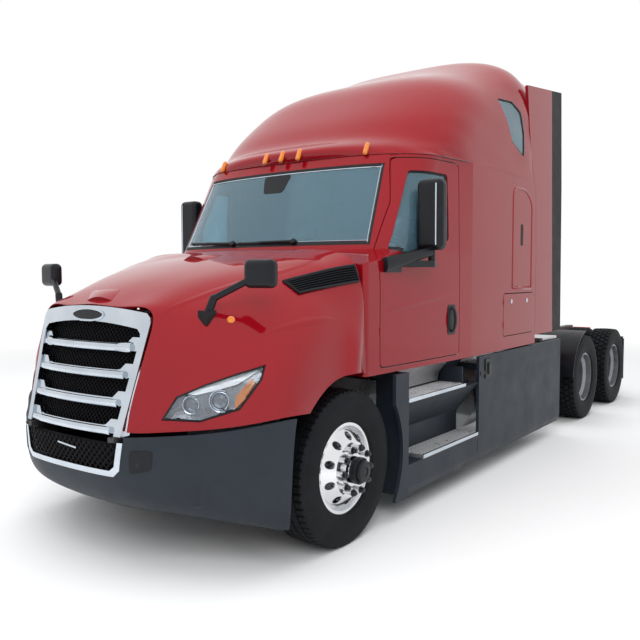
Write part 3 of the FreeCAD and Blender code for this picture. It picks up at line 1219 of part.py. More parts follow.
def build_chassis():
    save("frame", frame())
    save("front_brackets", front_brackets())
    save("front_axle", front_axle())
    save("drive_axle_front", drive_axle(MIDDLE_AXLE_Y))
    save("drive_axle_rear", drive_axle(REAR_AXLE_Y))
    save("engine", engine())
    gearbox, shaft, link = driveline()
    save("driveline", Part.makeCompound([gearbox.fuse(shaft), link]))
    save("fuel_tanks", fuel_tanks())
    save("fifth_wheel_base", fifth_wheel_base())
    save("fifth_wheel_plate", fifth_wheel_plate())
    save("deck_plate", deck_plate())
    save("mudflaps", mudflaps())
    save("quarter_fenders", quarter_fenders())
    save("tail_lamps", tail_lamps())
    save("side_fairings", both(side_fairing()))
    save("steps", steps())


def build_wheels():
    left_knuckle = knuckle()
    save("knuckle_left", left_knuckle)
    save("knuckle_right", mirrored(left_knuckle))
    save("tie_rod", tie_rod())
    front_tyre = tyre(STEER_TYRE_X, 0)
    front_wheel = steer_wheel()
    save("tyre_front_left", front_tyre)
    save("tyre_front_right", mirrored(front_tyre))
    save("wheel_front_left", front_wheel)
    save("wheel_front_right", mirrored(front_wheel))
    for name, axle_y in (("middle", MIDDLE_AXLE_Y), ("rear", REAR_AXLE_Y)):
        tyres = Part.makeCompound([tyre(DUAL_OUTER_X, axle_y), tyre(DUAL_OUTER_X - DUAL_SPACING, axle_y)])
        wheels = drive_wheel(axle_y)
        save("tyre_%s_left" % name, tyres)
        save("tyre_%s_right" % name, mirrored(tyres))
        save("wheel_%s_left" % name, wheels)
        save("wheel_%s_right" % name, mirrored(wheels))


def build_interior():
    floor = CAB_FLOOR_Z + CAB_WALL
    dash = prism_x([(330, 1640), (420, 1845), (500, 1868), (570, 1888), (820, 1800), (850, 1620),
                    (760, 1500), (330, 1500)], -960, 960)
    dash = dash.cut(box((-FIREWALL_TUNNEL_HALF - 25, 0, 0),
                        (FIREWALL_TUNNEL_HALF + 25, FIREWALL_TUNNEL_END + 25,
                                                              FIREWALL_TUNNEL_TOP + 25)))
    save("dashboard", dash)
    tilt = Vector(0, 0.85, 0.53)
    centre = Vector(500, 1000, 1730)
    down = Vector(0, 0.53, -0.85)
    ring = Part.makeTorus(210, 15, centre, tilt)
    column = rod(centre - tilt * 260, centre, 30).cut(dash)
    spokes = [rod(centre, centre + way * 205, 14) for way in (Vector(1, 0, 0), Vector(-1, 0, 0), down)]
    save("steering_wheel", ring.multiFuse([column] + spokes))
    seat = box((300, 1150, floor), (800, 1650, floor + 480))
    back = prism_x([(1600, floor + 480), (1720, floor + 480),
                    (1860, floor + 1150), (1760, floor + 1150)], 300, 800)
    save("seats", both(seat.fuse(back)))
    bunk = box((-1150, 2350, floor), (1150, 3170, floor + 620))
    save("bunk", bunk)


main()
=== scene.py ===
import json
import math

import bmesh
import bpy
from mathutils import Matrix, Vector
from mathutils.bvhtree import BVHTree

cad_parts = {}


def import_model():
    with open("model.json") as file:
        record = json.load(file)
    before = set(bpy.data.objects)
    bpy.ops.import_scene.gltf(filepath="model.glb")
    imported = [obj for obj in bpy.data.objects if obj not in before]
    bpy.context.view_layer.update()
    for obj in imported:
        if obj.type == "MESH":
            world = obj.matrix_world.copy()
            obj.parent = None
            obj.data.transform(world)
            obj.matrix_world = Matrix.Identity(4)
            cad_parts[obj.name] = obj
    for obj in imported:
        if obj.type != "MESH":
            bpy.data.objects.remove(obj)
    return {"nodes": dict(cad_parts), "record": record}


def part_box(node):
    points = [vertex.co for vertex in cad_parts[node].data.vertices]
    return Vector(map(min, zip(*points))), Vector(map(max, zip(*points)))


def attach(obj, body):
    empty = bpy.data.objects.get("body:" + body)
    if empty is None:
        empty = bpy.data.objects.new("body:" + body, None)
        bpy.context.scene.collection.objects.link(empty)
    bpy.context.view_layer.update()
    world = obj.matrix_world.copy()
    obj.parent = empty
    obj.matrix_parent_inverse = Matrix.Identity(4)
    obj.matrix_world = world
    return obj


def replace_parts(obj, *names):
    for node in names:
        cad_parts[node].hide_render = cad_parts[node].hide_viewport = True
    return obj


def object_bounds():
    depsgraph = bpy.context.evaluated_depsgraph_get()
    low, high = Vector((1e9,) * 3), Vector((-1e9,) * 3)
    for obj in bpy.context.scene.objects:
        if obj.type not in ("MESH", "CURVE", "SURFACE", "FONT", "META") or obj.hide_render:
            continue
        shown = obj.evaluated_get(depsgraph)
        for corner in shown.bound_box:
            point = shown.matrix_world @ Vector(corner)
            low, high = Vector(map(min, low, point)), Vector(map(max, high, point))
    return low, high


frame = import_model()
CAD_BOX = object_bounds()

# Driving sizes, in metres
AXLE_Y = sum(p.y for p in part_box("tyre_front_left")) / 2
WHEEL_Z = sum(p.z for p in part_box("tyre_front_left")) / 2
STUD_CIRCLE = 0.1429
STUD_COUNT = 10
ASIDE = 3.0  # a distance well outside the cab, from which rays are cast in
CAMERA_PLACE = (3.697, AXLE_Y - 3.706, 1.736)
CAMERA_TURN = (math.radians(36.54), math.radians(-3.53), math.radians(-0.15))
CAMERA_LENS = 39.9
SENSOR_WIDTH = 36.0
FAR_CLIP = 300.0
WORLD_LIGHT = 0.40
SKY_COLOUR = (0.90, 0.95, 1.0)
FLOOR_FADE = (5.0, 13.0)
CAB_MIDDLE = (0.0, AXLE_Y + 2.1, 1.95)
SIDES = ((1, "left"), (-1, "right"))


def station(x, y, z):
    """A point given by its distance behind the front axle."""
    return Vector((x, y + AXLE_Y, z))


# Shading groups

MIX_FACTOR, MIX_FIRST, MIX_SECOND, MIX_RESULT = 0, 6, 7, 2


def new_group(name, inputs, outputs):
    """An empty shader group with named inputs and outputs, and the nodes of its two ends."""
    group = bpy.data.node_groups.new(name, "ShaderNodeTree")
    for label, value in inputs:
        socket = group.interface.new_socket(name=label, in_out="INPUT", socket_type="NodeSocketFloat")
        socket.default_value = value
    for label, kind in outputs:
        group.interface.new_socket(name=label, in_out="OUTPUT", socket_type=kind)
    return group, group.nodes.new("NodeGroupInput"), group.nodes.new("NodeGroupOutput")


def noise(tree, vector, scale, detail, roughness=0.55):
    """A noise texture laid out by a vector."""
    node = tree.nodes.new("ShaderNodeTexNoise")
    node.inputs["Scale"].default_value = scale
    node.inputs["Detail"].default_value = detail
    node.inputs["Roughness"].default_value = roughness
    tree.links.new(vector, node.inputs["Vector"])
    return node


def maths(tree, kind, first, second=None):
    """The result of one sum of numbers or links."""
    node = tree.nodes.new("ShaderNodeMath")
    node.operation = kind
    for socket, value in zip(node.inputs, (first, second)):
        if value is None:
            continue
        if isinstance(value, (int, float)):
            socket.default_value = value
        else:
            tree.links.new(value, socket)
    return node.outputs[0]


def ramp(tree, value, low, high, out_low=0.0, out_high=1.0):
    """A value's range from low to high turned into another range."""
    node = tree.nodes.new("ShaderNodeMapRange")
    tree.links.new(value, node.inputs["Value"])
    for label, number in (("From Min", low), ("From Max", high),
                          ("To Min", out_low), ("To Max", out_high)):
        node.inputs[label].default_value = number
    return node.outputs["Result"]


def object_place(tree):
    """The place in the piece's own space, so that a finish moves with its piece."""
    return tree.nodes.new("ShaderNodeTexCoord").outputs["Object"]


def vector_maths(tree, kind, first, second=None):
    """The results of one sum of vectors: a link and, where it takes two, a fixed vector or a link."""
    node = tree.nodes.new("ShaderNodeVectorMath")
    node.operation = kind
    tree.links.new(first, node.inputs[0])
    if isinstance(second, tuple):
        node.inputs[1].default_value = second
    elif second:
        tree.links.new(second, node.inputs[1])
    return node.outputs


def split_place(tree, vector):
    """A vector's X, Y and Z."""
    node = tree.nodes.new("ShaderNodeSeparateXYZ")
    tree.links.new(vector, node.inputs[0])
    return node.outputs


def mix_colours(tree, factor, first, second):
    """The first colour where the factor is 0, the second where it is 1; each a colour or a link."""
    mix = tree.nodes.new("ShaderNodeMix")
    mix.data_type = "RGBA"
    tree.links.new(factor, mix.inputs[MIX_FACTOR])
    for index, colour in ((MIX_FIRST, first), (MIX_SECOND, second)):
        if isinstance(colour, bpy.types.NodeSocket):
            tree.links.new(colour, mix.inputs[index])
        else:
            mix.inputs[index].default_value = (*colour, 1.0)
    return mix.outputs[MIX_RESULT]


def grain_group():
    """Moulded or cast grain: a fine height and a slow mottle, in object space."""
    group, given, out = new_group("moulded_grain", (("Fine", 900.0), ("Broad", 6.0)),
                                  (("Height", "NodeSocketFloat"), ("Mottle", "NodeSocketFloat")))
    place = object_place(group)
    for scale, detail, result in (("Fine", 2.0, "Height"), ("Broad", 4.0, "Mottle")):
        pattern = noise(group, place, 1.0, detail)
        group.links.new(given.outputs[scale], pattern.inputs["Scale"])
        group.links.new(pattern.outputs["Fac"], out.inputs[result])
    return group


def dust_group():
    """Road dust that settles near the ground and on faces that look up."""
    group, given, out = new_group("road_dust", (("Top", 1.1), ("Strength", 0.5)),
                                  (("Mask", "NodeSocketFloat"),))
    surface = group.nodes.new("ShaderNodeNewGeometry")
    place = split_place(group, surface.outputs["Position"])
    facing = split_place(group, surface.outputs["Normal"])
    height = maths(group, "DIVIDE", place["Z"], given.outputs["Top"])
    low = maths(group, "MAXIMUM", maths(group, "SUBTRACT", 1.0, height), 0.0)
    upward = maths(group, "MAXIMUM", maths(group, "MULTIPLY", facing["Z"], 0.35), 0.0)
    spots = noise(group, surface.outputs["Position"], 11.0, 6.0, 0.65)
    mask = maths(group, "MULTIPLY", maths(group, "ADD", low, upward), spots.outputs["Fac"])
    mask = maths(group, "MULTIPLY", mask, given.outputs["Strength"])
    group.links.new(mask, out.inputs["Mask"])
    return group


def brushed_group():
    """Fine lines along one direction, as rolled or brushed metal has."""
    group, given, out = new_group("brushed_lines", (("Along", 4.0), ("Across", 700.0)),
                                  (("Lines", "NodeSocketFloat"), ("Smudge", "NodeSocketFloat")))
    place = object_place(group)
    joined = group.nodes.new("ShaderNodeCombineXYZ")
    for axis, scale in (("X", "Across"), ("Y", "Along"), ("Z", "Across")):
        group.links.new(given.outputs[scale], joined.inputs[axis])
    drawn_out = vector_maths(group, "MULTIPLY", place, joined.outputs[0])["Vector"]
    lines = noise(group, drawn_out, 1.0, 2.0)
    smudge = noise(group, place, 5.0, 5.0)
    group.links.new(lines.outputs["Fac"], out.inputs["Lines"])
    group.links.new(smudge.outputs["Fac"], out.inputs["Smudge"])
    return group


def weave_group():
    """Two crossed thread directions for cloth, in object space."""
    group, given, out = new_group("cloth_weave", (("Threads", 900.0),),
                                  (("Height", "NodeSocketFloat"), ("Shade", "NodeSocketFloat")))
    place = object_place(group)
    axes = split_place(group, place)
    along = maths(group, "ADD", axes["Y"], axes["Z"])
    warp, weft = (maths(group, "SINE", maths(group, "MULTIPLY", way, given.outputs["Threads"]))
                  for way in (axes["X"], along))
    wear = noise(group, place, 9.0, 5.0)
    group.links.new(maths(group, "MULTIPLY", warp, weft), out.inputs["Height"])
    group.links.new(wear.outputs["Fac"], out.inputs["Shade"])
    return group


GRAIN = grain_group()
DUST = dust_group()
BRUSHED = brushed_group()
WEAVE = weave_group()

# Materials

PAINT_FLAKES = 1600.0
PAINT_COAT = 0.8
PAINT_METAL = 0.25
CLEAR_COAT_ROUGHNESS = 0.03
CAB_TRIM = (0.34, 0.35, 0.36)
INWARD = -0.15  # a face whose normal runs this far towards the cab's middle is inside it
GLASS_INDEX = 1.45
PLATE_PITCH = 150.0
ROAD_DUST = (0.28, 0.25, 0.21)
METAL_DUST = (0.3, 0.28, 0.25)
TREAD_DUST = (0.05, 0.047, 0.045)


def start_material(name, colour, roughness, metallic=0.0):
    """A new material with its node tree and its shader."""
    made = bpy.data.materials.new(name)
    made.use_nodes = True
    tree = made.node_tree
    shader = tree.nodes["Principled BSDF"]
    shader.inputs["Base Color"].default_value = (*colour, 1.0)
    shader.inputs["Roughness"].default_value = roughness
    shader.inputs["Metallic"].default_value = metallic
    return made, tree, shader


def place_group(tree, group, **values):
    """A shader group placed in a material with its own values."""
    node = tree.nodes.new("ShaderNodeGroup")
    node.node_tree = group
    for label, value in values.items():
        node.inputs[label.capitalize()].default_value = value
    return node


def shade_between(tree, shader, factor, dark, light):
    """Base colour that runs from dark to light with a factor."""
    colour = mix_colours(tree, factor, dark, light)
    tree.links.new(colour, shader.inputs["Base Color"])
    return colour


def opened(tree, value, out_low=0.0, out_high=1.0):
    """A noise's middle range opened up to the whole of another."""
    return ramp(tree, value, 0.3, 0.7, out_low, out_high)


def dust_over(tree, shader, colour, dust, strength, top=1.1):
    """Lays dust over a base colour that is already linked."""
    node = place_group(tree, DUST, strength=strength, top=top)
    shade_between(tree, shader, node.outputs["Mask"], colour, dust)


def bump_from(tree, shader, height, distance, strength):
    """Fine relief from a height."""
    node = tree.nodes.new("ShaderNodeBump")
    node.inputs["Distance"].default_value = distance
    node.inputs["Strength"].default_value = strength
    tree.links.new(height, node.inputs["Height"])
    tree.links.new(node.outputs["Normal"], shader.inputs["Normal"])


def grained(name, dark, light, roughness, fine=900.0, broad=6.0, depth=0.0002, metallic=0.0, dust=0.0,
            coat=0.0, shine=0.5):
    """A solid finish with moulded or cast grain, slow mottling and, near the road, dust."""
    made, tree, shader = start_material(name, light, roughness, metallic)
    grain = place_group(tree, GRAIN, fine=fine, broad=broad)
    colour = shade_between(tree, shader, opened(tree, grain.outputs["Mottle"]), dark, light)
    if dust:
        dust_over(tree, shader, colour, ROAD_DUST, dust)
    rough = opened(tree, grain.outputs["Mottle"], roughness - 0.08, roughness + 0.08)
    tree.links.new(rough, shader.inputs["Roughness"])
    bump_from(tree, shader, grain.outputs["Height"], depth, 0.6)
    shader.inputs["Coat Weight"].default_value = coat
    shader.inputs["Specular IOR Level"].default_value = shine
    return made


def red_paint(name, trim_inside=False):
    """Glossy red under clear coat, with a fine metal flake; inside the cab it turns to pale trim."""
    made, tree, shader = start_material(name, (0.27, 0.003, 0.009), 0.3, PAINT_METAL)
    place = object_place(tree)
    flake = tree.nodes.new("ShaderNodeTexVoronoi")
    flake.inputs["Scale"].default_value = PAINT_FLAKES
    tree.links.new(place, flake.inputs["Vector"])
    spark = ramp(tree, flake.outputs["Distance"], 0.0, 0.7)
    colour = shade_between(tree, shader, spark, (0.33, 0.004, 0.011), (0.23, 0.002, 0.007))
    rough = opened(tree, noise(tree, place, 3.0, 3.0).outputs["Fac"], 0.28, 0.36)
    shader.inputs["Coat Weight"].default_value = PAINT_COAT
    shader.inputs["Coat Roughness"].default_value = CLEAR_COAT_ROUGHNESS
    shader.inputs["Specular IOR Level"].default_value = 0.0
    if trim_inside:
        surface = tree.nodes.new("ShaderNodeNewGeometry")
        away = vector_maths(tree, "SUBTRACT", place, CAB_MIDDLE)["Vector"]
        facing = vector_maths(tree, "DOT_PRODUCT", surface.outputs["True Normal"], away)["Value"]
        inside = maths(tree, "LESS_THAN", facing, INWARD)
        outside = maths(tree, "SUBTRACT", 1.0, inside)
        shade_between(tree, shader, inside, colour, CAB_TRIM)
        rough = maths(tree, "MAXIMUM", rough, maths(tree, "MULTIPLY", inside, 0.8))
        for label, amount in (("Coat Weight", PAINT_COAT), ("Metallic", PAINT_METAL)):
            tree.links.new(maths(tree, "MULTIPLY", outside, amount), shader.inputs[label])
    tree.links.new(rough, shader.inputs["Roughness"])
    bump_from(tree, shader, noise(tree, place, 34.0, 2.0).outputs["Fac"], 0.0006, 0.1)
    return made


def bright_metal(name, dark, light, roughness, along=4.0, across=700.0, depth=0.00005, dust=0.0):
    """Rolled, brushed or polished metal, by how rough it is and how its lines run."""
    made, tree, shader = start_material(name, light, roughness, 1.0)
    lines = place_group(tree, BRUSHED, along=along, across=across)
    colour = shade_between(tree, shader, opened(tree, lines.outputs["Smudge"]), dark, light)
    if dust:
        dust_over(tree, shader, colour, METAL_DUST, dust)
    rough = opened(tree, lines.outputs["Smudge"], roughness * 0.75, roughness * 1.35)
    tree.links.new(rough, shader.inputs["Roughness"])
    bump_from(tree, shader, lines.outputs["Lines"], depth, 0.5)
    return made


def glass(name, colour, clear=1.0):
    """Clear or tinted glass with faint smears; light passes through it."""
    made, tree, shader = start_material(name, colour, 0.0)
    shader.inputs["Transmission Weight"].default_value = clear
    shader.inputs["IOR"].default_value = GLASS_INDEX
    smears = place_group(tree, GRAIN, fine=40.0, broad=2.5).outputs["Mottle"]
    tree.links.new(ramp(tree, smears, 0.45, 0.8, 0.0, 0.02), shader.inputs["Roughness"])
    shade_between(tree, shader, opened(tree, smears), [c * 0.94 for c in colour], colour)
    return made


def lens_plastic(name, dark, light):
    """Coloured lamp plastic with fluted optics just under the surface."""
    made, tree, shader = start_material(name, light, 0.08)
    flutes = tree.nodes.new("ShaderNodeTexWave")
    flutes.inputs["Scale"].default_value = 60.0
    flutes.bands_direction = "X"
    tree.links.new(object_place(tree), flutes.inputs["Vector"])
    shade_between(tree, shader, flutes.outputs["Fac"], dark, light)
    bump_from(tree, shader, flutes.outputs["Fac"], 0.0008, 0.35)
    shader.inputs["Coat Weight"].default_value = 0.8
    shader.inputs["Coat Roughness"].default_value = CLEAR_COAT_ROUGHNESS
    return made


def raised_plate(name):
    """Aluminium plate with raised lozenges in two directions."""
    made, tree, shader = start_material(name, (0.72, 0.73, 0.75), 0.32, 1.0)
    axes = split_place(tree, object_place(tree))
    first = maths(tree, "ADD", axes["X"], maths(tree, "ADD", axes["Y"], axes["Z"]))
    second = maths(tree, "SUBTRACT", maths(tree, "ADD", axes["X"], axes["Z"]), axes["Y"])
    waves = [maths(tree, "SINE", maths(tree, "MULTIPLY", way, PLATE_PITCH)) for way in (first, second)]
    raised = ramp(tree, maths(tree, "MULTIPLY", *waves), 0.35, 0.6)
    grain = place_group(tree, GRAIN, fine=300.0, broad=14.0)
    colour = shade_between(tree, shader, grain.outputs["Mottle"], (0.5, 0.51, 0.53), (0.82, 0.83, 0.85))
    dust_over(tree, shader, colour, METAL_DUST, 0.35)
    tree.links.new(ramp(tree, raised, 0.0, 1.0, 0.42, 0.2), shader.inputs["Roughness"])
    bump_from(tree, shader, raised, 0.0025, 0.9)
    return made


def cloth(name, dark, light, threads=900.0):
    """Woven cover cloth, worn paler in places."""
    made, tree, shader = start_material(name, light, 0.9)
    weave = place_group(tree, WEAVE, threads=threads)
    shade_between(tree, shader, opened(tree, weave.outputs["Shade"]), dark, light)
    bump_from(tree, shader, weave.outputs["Height"], 0.0006, 0.7)
    shader.inputs["Sheen Weight"].default_value = 0.25
    return made


def tyre_rubber(name):
    """Black rubber with slow mottling, and a little dust low down."""
    made, tree, shader = start_material(name, (0.008, 0.0085, 0.010), 0.7)
    grain = place_group(tree, GRAIN, fine=420.0, broad=7.0)
    colour = shade_between(tree, shader, opened(tree, grain.outputs["Mottle"]),
                           (0.003, 0.0035, 0.005), (0.006, 0.007, 0.009))
    dust_over(tree, shader, colour, TREAD_DUST, 0.05, 0.5)
    bump_from(tree, shader, grain.outputs["Height"], 0.0004, 0.5)
    shader.inputs["Specular IOR Level"].default_value = 0.2
    return made


# Each slot's finish: how it is made, and from what
FINISHES = {
    "red_paint": (red_paint, {}),
    "dark_plastic": (grained, dict(dark=(0.011, 0.015, 0.022), light=(0.018, 0.024, 0.034), roughness=0.5,
                                   fine=1500.0, broad=4.0, depth=0.00015, dust=0.015, shine=0.3)),
    "black_plastic": (grained, dict(dark=(0.0035, 0.004, 0.006), light=(0.006, 0.007, 0.010),
                                    roughness=0.36, fine=1200.0, broad=8.0, shine=0.3)),
    "chrome": (bright_metal, dict(dark=(0.50, 0.55, 0.61), light=(0.62, 0.67, 0.73), roughness=0.09)),
    "mesh_black": (grained, dict(dark=(0.002, 0.002, 0.003), light=(0.005, 0.005, 0.006), roughness=0.6,
                                 broad=12.0, shine=0.12)),
    "lamp_lens": (glass, dict(colour=(0.90, 0.93, 0.96))),
    "amber_lens": (lens_plastic, dict(dark=(0.55, 0.13, 0.005), light=(0.78, 0.24, 0.012))),
    "red_lens": (lens_plastic, dict(dark=(0.42, 0.01, 0.01), light=(0.62, 0.02, 0.015))),
    "window_glass": (glass, dict(colour=(0.26, 0.46, 0.56), clear=0.80)),
    "chassis_paint": (grained, dict(dark=(0.012, 0.012, 0.013), light=(0.024, 0.024, 0.026),
                                    roughness=0.45, fine=260.0, broad=9.0, dust=0.18)),
    "cast_grey": (grained, dict(dark=(0.05, 0.05, 0.053), light=(0.10, 0.10, 0.105), roughness=0.6,
                                fine=160.0, broad=14.0, depth=0.0012, metallic=0.2, dust=0.2)),
    "engine_paint": (grained, dict(dark=(0.10, 0.105, 0.11), light=(0.17, 0.18, 0.19), roughness=0.5,
                                   fine=200.0, broad=10.0, depth=0.0008, metallic=0.2, dust=0.1)),
    "aluminium": (bright_metal, dict(dark=(0.62, 0.63, 0.65), light=(0.78, 0.79, 0.81), roughness=0.3,
                                     along=3.0, across=420.0, depth=0.0001, dust=0.15)),
    "tread_plate": (raised_plate, {}),
    "steel_plate": (bright_metal, dict(dark=(0.035, 0.035, 0.035), light=(0.12, 0.12, 0.125),
                                       roughness=0.4, along=6.0, across=300.0, depth=0.0002)),
    "polished_wheel": (bright_metal, dict(dark=(0.70, 0.71, 0.73), light=(0.86, 0.87, 0.89),
                                          roughness=0.14, along=30.0, across=300.0, depth=0.00004,
                                          dust=0.1)),
    "tyre": (tyre_rubber, {}),
    "rubber": (grained, dict(dark=(0.005, 0.005, 0.006), light=(0.010, 0.010, 0.012), roughness=0.7,
                             fine=500.0, broad=7.0, depth=0.0003, dust=0.1)),
    "dash_plastic": (grained, dict(dark=(0.075, 0.075, 0.08), light=(0.12, 0.12, 0.13), roughness=0.6,
                                   fine=1100.0, depth=0.0004)),
    "seat_cloth": (cloth, dict(dark=(0.055, 0.055, 0.065), light=(0.13, 0.13, 0.15))),
    "bunk_cloth": (cloth, dict(dark=(0.20, 0.19, 0.18), light=(0.34, 0.33, 0.31), threads=700.0)),
}
MATERIALS = {name: make(name, **values) for name, (make, values) in FINISHES.items()}
MIRROR_FACE = bright_metal("mirror_face", (0.86, 0.88, 0.9), (0.93, 0.94, 0.95), 0.02, 2.0, 20.0, 0.00001)
LAMP_HOUSING = grained("lamp_housing", (0.16, 0.17, 0.19), (0.26, 0.275, 0.30), 0.3, 700.0, 9.0,
                       metallic=0.5)
CAB_PAINT = red_paint("cab_paint", True)
PROJECTOR_GLASS = glass("projector_glass", (0.90, 0.95, 1.0))
WHITE_GUIDE = grained("light_guide", (0.80, 0.82, 0.84), (0.92, 0.93, 0.95), 0.18, 300.0, 8.0, coat=0.6)
STEEL_NUT = bright_metal("nut_steel", (0.05, 0.05, 0.055), (0.11, 0.11, 0.12), 0.34, 60.0, 300.0)
GREY_WHEEL = grained("drive_wheel_paint", (0.20, 0.21, 0.23), (0.32, 0.33, 0.36), 0.32, 300.0, 6.0,
                     metallic=0.75, dust=0.2)


def dress_cad_nodes():
    """Gives each carried-over node the procedural finish of its slot, or one of its own."""
    for part in frame["record"]["subparts"]:
        node = frame["nodes"][part["node"]]
        node.data.materials.clear()
        node.data.materials.append(MATERIALS[part["material_slot"]])
    for name in ("wheel_middle_left", "wheel_middle_right", "wheel_rear_left", "wheel_rear_right"):
        frame["nodes"][name].data.materials[0] = GREY_WHEEL
    for name in ("cab_shell", "roof_cap"):
        frame["nodes"][name].data.materials[0] = CAB_PAINT


# Mesh making

BEVEL_ANGLE = math.radians(35)
RAY_LEAD = 0.3  # how far off a skin a ray starts on its way in

class Form:
    """Vertices and faces of one piece, which ends as an object that rides on a body."""

    def __init__(self):
        self.points = []
        self.faces = []

    def add(self, points, faces):
        base = len(self.points)
        self.points += [Vector(p) for p in points]
        self.faces += [tuple(base + i for i in face) for face in faces]
        return self

    def join(self, other):
        return self.add(other.points, other.faces)

    def mirrored(self):
        turned = Form()
        turned.add([(-p.x, p.y, p.z) for p in self.points], [face[::-1] for face in self.faces])
        return turned

    def with_mirror(self):
        return self.join(self.mirrored())

    def object(self, name, finish, body, slot=None, bevel=0.0, smooth=40.0):
        """The finish is a name in MATERIALS, or a material. The slot is not used."""
        if isinstance(finish, str):
            slot = slot or finish
            finish = MATERIALS[finish]
        mesh = bpy.data.meshes.new(name)
        mesh.from_pydata([tuple(p) for p in self.points], [], self.faces)
        made = bmesh.new()
        made.from_mesh(mesh)
        bmesh.ops.recalc_face_normals(made, faces=made.faces)
        made.to_mesh(mesh)
        made.free()
        mesh.materials.append(finish)
        mesh.polygons.foreach_set("use_smooth", [True] * len(mesh.polygons))
        mesh.set_sharp_from_angle(angle=math.radians(smooth))
        thing = bpy.data.objects.new(name, mesh)
        bpy.context.scene.collection.objects.link(thing)
        if bevel:
            edge = thing.modifiers.new("edge", "BEVEL")
            edge.width = bevel
            edge.segments = 2
            edge.limit_method = "ANGLE"
            edge.angle_limit = BEVEL_ANGLE
        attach(thing, body)
        return thing


def frame_at(axis, up=Vector((0, 0, 1))):
    """Two directions across an axis, the second one nearest to up."""
    axis = axis.normalized()
    if abs(axis.dot(up)) > 0.99:
        up = Vector((0, 1, 0))
    side = up.cross(axis).normalized()
    return side, axis.cross(side)


def band(a, b, count, closed=True):
    """The faces between two rows of points, which start at a and at b."""
    return [(a + k, a + (k + 1) % count, b + (k + 1) % count, b + k)
            for k in range(count if closed else count - 1)]


def lathe(centre, axis, profile, steps=32, start=0.0, turn=math.tau):
    """A profile of (radius, distance along the axis) spun round the axis."""
    form = Form()
    side, up = frame_at(axis)
    axis = axis.normalized()
    closed = turn > math.tau - 1e-6
    count = steps if closed else steps + 1
    points = []
    for i in range(count):
        angle = start + turn * i / steps
        ray = side * math.cos(angle) + up * math.sin(angle)
        points += [centre + axis * along + ray * radius for radius, along in profile]
    rows = len(profile)
    faces = []
    for i in range(steps):
        faces += band(i * rows, ((i + 1) % count) * rows, rows, False)
    return form.add(points, faces)


def sweep(path, lifts, profile, closed=False):
    """A closed profile of (across, out) carried along a path; lifts are the outward directions.

    A profile may also be a function of the share of the path that is run."""
    points = []
    count = len(path)
    for i, place in enumerate(path):
        before = path[i - 1] if closed or i else path[i]
        after = path[(i + 1) % count] if closed or i < count - 1 else path[i]
        along = (after - before).normalized()
        out = lifts[i].normalized()
        across = along.cross(out).normalized()
        ring = profile(i / (count - 1)) if callable(profile) else profile
        points += [place + across * u + out * v for u, v in ring]
    rows = len(ring)
    faces = []
    for i in range(count if closed else count - 1):
        faces += band(i * rows, ((i + 1) % count) * rows, rows)
    if not closed:
        faces += [tuple(range(rows))[::-1], tuple(range(len(points) - rows, len(points)))]
    return Form().add(points, faces)


def round_points(count):
    """Cosine and sine of evenly spaced angles, with the angle."""
    return [(math.cos(a), math.sin(a), a) for a in (math.tau * k / count for k in range(count))]


def round_profile(radius, steps=8):
    """A cord's cross-section."""
    return [(radius * across, radius * up) for across, up, _ in round_points(steps)]


def flat_profile(width, height, edge=0.3):
    """A strip's cross-section, rounded on its outer edges."""
    half = width / 2
    inset = min(height * edge * 2, half * 0.6)
    foot, shoulder = -height * 0.2, height * (1 - edge)
    return [(-half, foot), (half, foot), (half, shoulder), (half - inset, height),
            (-half + inset, height), (-half, shoulder)]


def rounded_path(corners, radius, steps=6, closed=True):
    """A flat outline of (u, v) corners with each corner turned on an arc."""
    path = []
    count = len(corners)
    for i, here in enumerate(corners):
        here = Vector((*here, 0))
        if not closed and i in (0, count - 1):
            path.append((here.x, here.y))
            continue
        before = Vector((*corners[i - 1], 0))
        after = Vector((*corners[(i + 1) % count], 0))
        reach = min(radius, (before - here).length * 0.45, (after - here).length * 0.45)
        start = here + (before - here).normalized() * reach
        end = here + (after - here).normalized() * reach
        for k in range(steps + 1):
            t = k / steps
            spot = start * (1 - t) ** 2 + here * 2 * t * (1 - t) + end * t ** 2
            path.append((spot.x, spot.y))
    return path


def spread(path, gap, closed=True):
    """Adds points so that none lie further apart than the gap."""
    out = []
    count = len(path)
    for i in range(count if closed else count - 1):
        a, b = path[i], path[(i + 1) % count]
        length = math.dist(a, b)
        parts = max(1, math.ceil(length / gap))
        out += [tuple(a[k] + (b[k] - a[k]) * j / parts for k in range(len(a))) for j in range(parts)]
    if not closed:
        out.append(path[-1])
    return out


def routed(stations, gap):
    """An open run of stations with points between them, no further apart than the gap."""
    return [Vector(p) for p in spread([tuple(station(*p)) for p in stations], gap, False)]


class Skin:
    """The outer faces of CAD nodes, to lay trim on."""

    def __init__(self, *nodes):
        points, faces = [], []
        for node in nodes:
            mesh = frame["nodes"][node].data
            base = len(points)
            points += [v.co.copy() for v in mesh.vertices]
            faces += [tuple(base + i for i in face.vertices) for face in mesh.polygons]
        self.tree = BVHTree.FromPolygons(points, faces)

    def hit(self, origin, direction):
        """Where a ray meets the skin and the direction out of it, or None."""
        place, normal, _, _ = self.tree.ray_cast(Vector(origin), Vector(direction))
        if place is None:
            return None
        if normal.dot(Vector(direction)) > 0:
            normal = -normal
        return place, normal

    def near(self, place):
        """The nearest point of the skin and the direction out of it."""
        spot, normal, _, _ = self.tree.find_nearest(Vector(place))
        return spot, normal

    def front(self, x, z):
        """Where a ray from ahead of the nose meets the skin."""
        return self.hit((x, CAD_BOX[0].y - 1, z), (0, 1, 0))

    def side(self, y, z, sign=1):
        """Where a ray from beside the cab meets the skin."""
        return self.hit((sign * ASIDE, y + AXLE_Y, z), (-sign, 0, 0))


def laid_strip(hits, profile, closed=False):
    """A strip along hits on a skin; a miss is left out."""
    hits = [h for h in hits if h]
    return sweep([h[0] for h in hits], [h[1] for h in hits], profile, closed)


